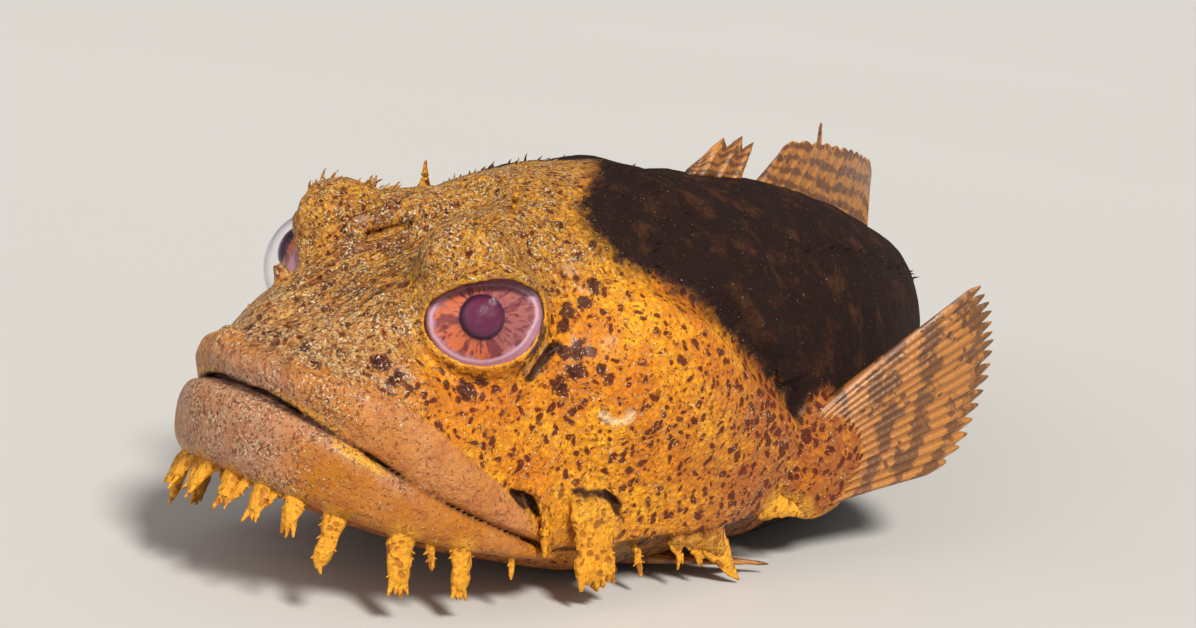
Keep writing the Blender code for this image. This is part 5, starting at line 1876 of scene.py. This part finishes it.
def pelvic_fin(side: Side) -> Fin:
    """The narrow fleshy paddle under the throat that lies along the floor."""
    start, end = np.array([61, -15.5, 3.2]), np.array([94, -36, 0.9])
    wide = unit((0.45, 0.9, 0))

    def root(u: Array) -> Array:
        """Points across the paddle's root."""
        return start + wide * (u[:, None] - 0.5) * 7.5

    def tip(u: Array) -> Array:
        """Points across the paddle's slanting end."""
        reach = 1 - 0.30 * (1 - u)
        return start + (end - start) * reach[:, None] + wide * (u[:, None] - 0.5) * 3.0

    word = side.name.lower()
    return Fin(f"pelvic_{word}", (f"pelvic_fin_{word}",), 3, root, tip, (0, 0, 1), root_half=0.9,
               tip_half=0.25, ridge=0.45, rows=22, wave=0.0, per_ray=10, bow=0.6)


# Fringe


@dataclass
class Fringe:
    """Barbels and flaps finer than the skin's own relief, each ending in ragged fingers."""

    around: int = 10
    rings: int = 12
    least_half: float = 0.18
    floor_gap: float = 0.1
    points: list[Array] = field(default_factory=list)
    faces: list[Array] = field(default_factory=list)
    glow: list[Array] = field(default_factory=list)
    total: int = 0

    def tube(self, line: Array, widths: Array, thin: float, flat_axis: Array, rng: np.random.Generator,
             glow: float) -> None:
        """Adds one tapering flattened tube, closed at both ends.

        Args:
            line: points along its middle.
            widths: its half width at each.
            thin: its thickness as a share of its width.
            flat_axis: the direction of its width.
            rng: random numbers for its ragged outline.
            glow: how yellow it is, from 0 to 1.
        """
        run = unit(np.gradient(line, axis=0))
        wide = unit(flat_axis - run * (run @ flat_axis)[:, None])
        deep = np.cross(run, wide)
        angles = np.linspace(0, 2 * math.pi, self.around, endpoint=False)
        ragged = 1 + rng.uniform(-0.16, 0.16, (len(line), self.around))
        half_thick = np.maximum(self.least_half, widths * thin)
        rows = (line[:, None] + wide[:, None] * (widths[:, None] * np.cos(angles) * ragged)[..., None]
                + deep[:, None] * (half_thick[:, None] * np.sin(angles) * ragged)[..., None])
        spots = np.concatenate([line[:1], rows.reshape(-1, 3), line[-1:] + run[-1:] * widths[-1] * 0.6])
        self.points.append(spots)
        self.faces.append(tube_faces(len(line), self.around) + self.total)
        self.glow.append(np.full(len(spots), glow))
        self.total += len(spots)

    def finger(self, lobe: Lobe, start: Array, heading: Array, length: float, width: float,
               rng: np.random.Generator) -> None:
        """Adds one small point of skin that leaves the lobe at start."""
        steps = np.linspace(0, 1, 5)
        line = start - heading * 0.4 + heading * (length + 0.4) * steps[:, None]
        line = line + lobe.flat_axis() * (steps ** 2 * rng.uniform(-0.3, 0.3))[:, None]
        self.tube(line, width * (1 - 0.7 * steps), 0.8, lobe.flat_axis(), rng, lobe.glow)

    def grow(self, lobe: Lobe, seed: int) -> None:
        """Adds one lobe with its ragged tip and edges."""
        rng = np.random.default_rng(seed)
        flat, way = lobe.flat_axis(), unit(lobe.way)
        line = lobe.line(self.rings)
        t = np.linspace(0, 1, self.rings)
        line = line + flat * (np.sin(t * 5 + seed) * 0.10 * lobe.width * t)[:, None]
        widths = lobe.widths(self.rings)
        self.tube(line, widths, lobe.thin, flat, rng, lobe.glow)
        for number in range(lobe.fingers):
            aside = 0.0 if lobe.fingers == 1 else (number / (lobe.fingers - 1) - 0.5) * 1.7
            start = line[-2] + flat * aside * widths[-2] * 0.8
            length = 0.7 + lobe.width * rng.uniform(0.3, 0.8)
            self.finger(lobe, start, unit(way + flat * aside * 0.3), length, 0.14 + 0.24 * lobe.width, rng)
        if lobe.outline is Outline.LEAF:
            return
        for _ in range(3 + int(lobe.length * 0.6)):
            k = rng.integers(3, self.rings - 2)
            aside = rng.choice((-1, 1))
            start = line[k] + flat * aside * widths[k] * 0.85
            heading = unit(way * 0.6 + flat * aside + np.cross(way, flat) * rng.uniform(-0.5, 0.5))
            self.finger(lobe, start, heading, rng.uniform(0.35, 0.8), 0.26, rng)

    def build(self, finishes: Finishes) -> Piece:
        """Makes the fringe of both sides.

        Args:
            finishes: the fish's materials.

        Returns:
            The fringe.
        """
        for seed, lobe in enumerate((*BARBELS, *CROWN_FLAPS, *CHEEK_FLAPS, *COVER_FLAPS, COVER_SPINES[1])):
            self.grow(lobe, seed + 3)
        points, faces, glow = (np.concatenate(rows) for rows in (self.points, self.faces, self.glow))
        faces = np.concatenate([faces, faces[:, ::-1] + len(points)])
        points, glow = np.concatenate([points, points * (1, -1, 1)]), np.tile(glow, 2)
        dull = ramp(points[:, 2], 50, 54) * 0.9
        points[:, 2] = np.maximum(points[:, 2], self.floor_gap)
        fringe = new_object("fringe", triangle_mesh("fringe", MIDLINE.place(points), faces))
        for title, values in (("rim", glow), ("flecked", glow), ("dust", dull)):
            store(fringe.data, title, values)
        fringe.data.materials.append(finishes.skin)
        return ride(fringe, "skin")


@dataclass(frozen=True)
class Tufts:
    """Short soft points of skin on the crown, brows and pits and along the flanks, scattered by node tree."""

    spacing: float = 0.0009
    density: float = 620000.0
    length: float = 0.0011
    thickness: float = 0.00021
    patch: float = 0.003
    tallest: float = 1.4
    map_length: float = 330
    map_margin: float = 0.03
    map_height: float = 0.93

    def named(self, nodes: Nodes, title: str, kind: str = "FLOAT_VECTOR") -> Socket:
        """A named attribute of the skin."""
        return nodes.add("GeometryNodeInputNamedAttribute", {"Name": title}, data_type=kind).outputs[0]

    def tree(self, material: bpy.types.Material) -> bpy.types.NodeTree:
        """The scattering tree: its inputs are the tufts' spacing, density, length and thickness."""
        tree = bpy.data.node_groups.new("tufts", "GeometryNodeTree")
        tree.is_modifier = True
        tree.interface.new_socket("Geometry", in_out="INPUT", socket_type="NodeSocketGeometry")
        for title in ("Spacing", "Density", "Length", "Thickness"):
            tree.interface.new_socket(title, in_out="INPUT", socket_type="NodeSocketFloat")
        tree.interface.new_socket("Geometry", in_out="OUTPUT", socket_type="NodeSocketGeometry")
        nodes = Nodes(tree)
        given = nodes.add("NodeGroupInput").outputs
        scatter = nodes.add("GeometryNodeDistributePointsOnFaces", {
            "Mesh": given["Geometry"], "Distance Min": given["Spacing"], "Density Max": given["Density"],
            "Density Factor": self.named(nodes, "fuzz", "FLOAT"), "Seed": 5}, distribute_method="POISSON")
        sway = nodes.add("FunctionNodeRandomValue", {0: (-0.45, -0.45, -0.3), 1: (0.45, 0.45, 0.45),
                                                     "Seed": 2}, data_type="FLOAT_VECTOR")
        way = nodes.vector("ADD", self.named(nodes, "lie"), sway.outputs[0])
        turn = nodes.add("FunctionNodeAlignRotationToVector", {"Vector": way}, axis="Z").outputs[0]
        uneven = nodes.add("FunctionNodeRandomValue", {2: 0.45, 3: 1.5, "Seed": 9},
                           data_type="FLOAT").outputs[1]
        line = nodes.add("GeometryNodeCurveQuadraticBezier", {"Resolution": 4})
        for name, across, up in (("Start", 0.0, -0.3), ("Middle", 0.0, 0.55), ("End", 0.4, 1.0)):
            spot = nodes.add("ShaderNodeCombineXYZ", {0: nodes.times(given["Length"], across),
                                                      2: nodes.times(given["Length"], up)})
            nodes.feed(line, {name: spot.outputs[0]})
        share = nodes.add("GeometryNodeSplineParameter").outputs["Factor"]
        narrow = nodes.less(1.0, nodes.times(nodes.math("POWER", share, 1.4), 0.85))
        ring = nodes.add("GeometryNodeCurvePrimitiveCircle", {0: 5})
        nodes.feed(ring, {"Radius": given["Thickness"]})
        point = nodes.add("GeometryNodeCurveToMesh", {
            "Curve": line.outputs[0], "Profile Curve": ring.outputs[0], "Scale": narrow, "Fill Caps": True})
        spot = nodes.add("GeometryNodeInputPosition").outputs[0]
        local = nodes.vector("SCALE", spot, self.patch / self.length / self.tallest)
        marked = nodes.add("GeometryNodeStoreNamedAttribute", {
            "Geometry": point.outputs[0], "Name": "patch", "Value": local}, data_type="FLOAT_VECTOR")
        spread = nodes.add("GeometryNodeInstanceOnPoints", {
            "Points": scatter.outputs["Points"], "Instance": marked.outputs[0], "Rotation": turn,
            "Scale": nodes.times(uneven, self.named(nodes, "tall", "FLOAT"))})
        real = nodes.add("GeometryNodeRealizeInstances", {"Geometry": spread.outputs[0]})
        turned = nodes.add("ShaderNodeSeparateXYZ", {0: self.named(nodes, "patch")}).outputs
        turned = nodes.add("ShaderNodeCombineXYZ", {0: turned[0], 1: turned[2]}).outputs[0]
        mapped = nodes.add("GeometryNodeStoreNamedAttribute", {
            "Geometry": real.outputs[0], "Name": "OFBake",
            "Value": nodes.vector("ADD", self.named(nodes, "root_place"), turned)},
            data_type="FLOAT2", domain="CORNER")
        soft = nodes.add("GeometryNodeSetShadeSmooth", {"Geometry": mapped.outputs[0]})
        done = nodes.add("GeometryNodeSetMaterial", {"Geometry": soft.outputs[0], "Material": material})
        nodes.feed(nodes.add("NodeGroupOutput"), {0: done.outputs[0]})
        return tree

    def growth(self, p: Array, hollows: list[tuple[Form, Array]]) -> tuple[Array, Array]:
        """How thickly and how tall the tufts grow at each point of the straight fish."""
        x, y, z = p[:, 0], -np.abs(p[:, 1]), p[:, 2]
        here = np.stack([x, y, z], 1)
        depth = z - BODY.top.at(x)
        crown = ramp(depth, -14, -6) * hump(x, 22, 32, 66, 92) * 0.42
        brow = ramp(np.linalg.norm((here - (35, -16, 59)) / (11, 7, 4), axis=1), 1.3, 0.7) * 0.8
        snout = ramp(x, 26, 12) * ramp(z, 36, 40) * 0.12
        rows = np.minimum(np.abs(depth + 9), np.abs(z - BODY.belly.at(x) - 9))
        flank = ramp(rows, 1.0, 0.5) * hump(x, 96, 104, 240, 250) * 0.5
        pits = np.max([hump(hollow(x, y, z), 0.1, 0.4, 0.7, 1.3) for hollow, _ in hollows], axis=0)
        hem = ramp(np.abs(z - COVER.lower_edge.at(x) - 0.3), 1.2, 0.4) * ramp(x, 56, 62)
        hem = hem * (x < 93) * (y < -26)
        clear = 1 - ramp(UPPER_LIP.form(x, y, z), 2.0, 0.5) * (x < 46)
        clear = clear * ramp(EYE.gap(x, y, z), 1.6, 2.8)
        clumps = ramp(Roughcast(21, 3.2).at(x, p[:, 1], z), -0.35, 0.45)
        tops = np.max([crown, brow, snout], axis=0) * clumps
        fuzz = np.max([tops, flank, pits * 0.9, hem * 0.5], axis=0) * clear
        return fuzz, np.clip(0.65 + brow * 0.55 + crown * 0.5 + flank * 0.8, 0.6, 1.3)

    def build(self, skin: Piece, sculpt: SkinSculpt, finishes: Finishes) -> Piece:
        """Grows the tufts on the skin.

        Args:
            skin: the finished skin.
            sculpt: its shape, with its points in the straight frame.
            finishes: the fish's materials.

        Returns:
            The tufts.
        """
        host = new_object("tufts", skin.data.copy())
        mesh, straight = host.data, sculpt.straight
        fuzz, tall = self.growth(straight, sculpt.hollows)
        store(mesh, "fuzz", fuzz)
        store(mesh, "tall", tall)
        normals = np.empty(len(mesh.vertices) * 3, np.float32)
        mesh.vertex_normals.foreach_get("vector", normals)
        turn = MIDLINE.heading(straight[:, 0])
        rearward = np.stack([np.cos(turn), np.sin(turn), 0 * turn], 1)
        hanging = (ramp(straight[:, 2], 24, 12) * 0.8)[:, None] * np.array([0, 0, -1.0])
        lie = normals.reshape(-1, 3) * 0.9 + rearward * 0.45 + hanging
        middle = BODY.widest.at(straight[:, 0])
        angle = np.arctan2(straight[:, 1], straight[:, 2] - middle) / (2 * math.pi) + 0.5
        place = np.stack([self.map_margin + straight[:, 0] / self.map_length,
                          self.map_margin + self.map_height * angle, 0 * angle], 1)
        for name, rows in (("lie", lie), ("root_place", place)):
            made = mesh.attributes.new(name, "FLOAT_VECTOR", "POINT")
            made.data.foreach_set("vector", rows.astype(np.float32).ravel())
        modifier = host.modifiers.new("tufts", "NODES")
        modifier.node_group = self.tree(finishes.skin)
        for item in modifier.node_group.interface.items_tree:
            if item.in_out == "INPUT" and item.name != "Geometry":
                modifier[item.identifier] = getattr(self, item.name.lower())
        applied(host)
        return ride(host, "skin")


# The studio


@dataclass(frozen=True)
class Studio:
    """The camera at the photograph's angle, soft lights and a pale floor."""

    azimuth: float = -47.8
    elevation: float = 10.9
    roll: float = 7.5
    distance: float = 407
    lens: float = 70
    film: float = 36
    target: tuple[float, float, float] = (78.5, 0, 39.1)
    floor_half: float = 14.0
    floor_level: float = -0.0004
    floor_tones: tuple[Colour, Colour] = ((0.56, 0.54, 0.51, 1), (0.60, 0.58, 0.55, 1))
    sky: Colour = (0.80, 0.80, 0.80, 1)
    sky_power: float = 0.32

    def camera(self) -> None:
        """Places the camera."""
        a, e, r = (math.radians(v) for v in (self.azimuth, self.elevation, self.roll))
        back = np.array([math.sin(a) * math.cos(e), -math.cos(a) * math.cos(e), math.sin(e)])
        right = np.array([math.cos(a), math.sin(a), 0.0])
        up = np.cross(back, right)
        right, up = right * math.cos(r) + up * math.sin(r), up * math.cos(r) - right * math.sin(r)
        spot = (np.array(self.target) + back * self.distance + MIDLINE.shift()) * MM
        lens = bpy.data.cameras.new("camera")
        lens.lens, lens.sensor_width = self.lens, self.film
        lens.clip_start, lens.clip_end = 0.01, 20
        made = new_object("camera", lens)
        rows = [(*row, spot[k]) for k, row in enumerate(zip(right, up, back))]
        made.matrix_world = Matrix([*rows, (0, 0, 0, 1)])
        bpy.context.scene.camera = made

    def light(self, name: str, spot: Sequence[float], power: float, spread: float,
              colour: Sequence[float]) -> None:
        """Adds one soft even light that shines on the head from the direction of spot."""
        lamp = bpy.data.lights.new(name, "SUN")
        lamp.energy, lamp.angle, lamp.color = power, math.radians(spread), colour
        made = new_object(name, lamp)
        made.location = spot
        made.rotation_euler = (-Vector(spot)).to_track_quat("-Z", "Y").to_euler()

    def floor(self) -> None:
        """Lays a plain pale floor."""
        corners = [(x * self.floor_half, y * self.floor_half, self.floor_level)
                   for x, y in ((-1, -1), (1, -1), (1, 1), (-1, 1))]
        plane = mesh_piece("floor", corners, [(0, 1, 2, 3)], False)
        material, nodes, shader = new_material("floor")
        tone = nodes.mix(nodes.noise(nodes.place(), 2.0), *self.floor_tones)
        nodes.feed(shader, {"Base Color": tone, "Roughness": 0.9})
        plane.data.materials.append(material)

    def build(self) -> None:
        """Sets up the whole studio."""
        self.camera()
        self.floor()
        self.light("key", (-0.35, -0.95, 1.05), 3.9, 14.0, (1.0, 0.97, 0.92))
        self.light("side", (-1.0, 0.2, 0.5), 0.9, 50.0, (0.92, 0.96, 1.0))
        world = bpy.data.worlds.new("studio")
        world.use_nodes = True
        background = world.node_tree.nodes["Background"].inputs
        background[0].default_value, background[1].default_value = self.sky, self.sky_power
        bpy.context.scene.world = world
        bpy.context.scene.view_settings.view_transform = "Standard"


def main() -> None:
    """Builds every piece of the fish and its studio."""
    logging.basicConfig(level=logging.INFO, format="%(message)s")
    finishes = Finishes.build()
    sculpt = SkinSculpt()
    skin = sculpt.build(finishes)
    Tufts().build(skin, sculpt, finishes)
    for side, pupil in ((Side.LEFT, (-0.9, 0.0)), (Side.RIGHT, (0.4, 0.9))):
        Eye(side, pupil).build(finishes)
        pectoral_fin(side).build(finishes, side)
        pelvic_fin(side).build(finishes, side)
    for fin in (spiny_dorsal(), soft_dorsal(), anal_fin(), caudal_fin()):
        fin.build(finishes)
    Fringe().build(finishes)
    Studio().build()


if __name__ == "__main__":
    main()
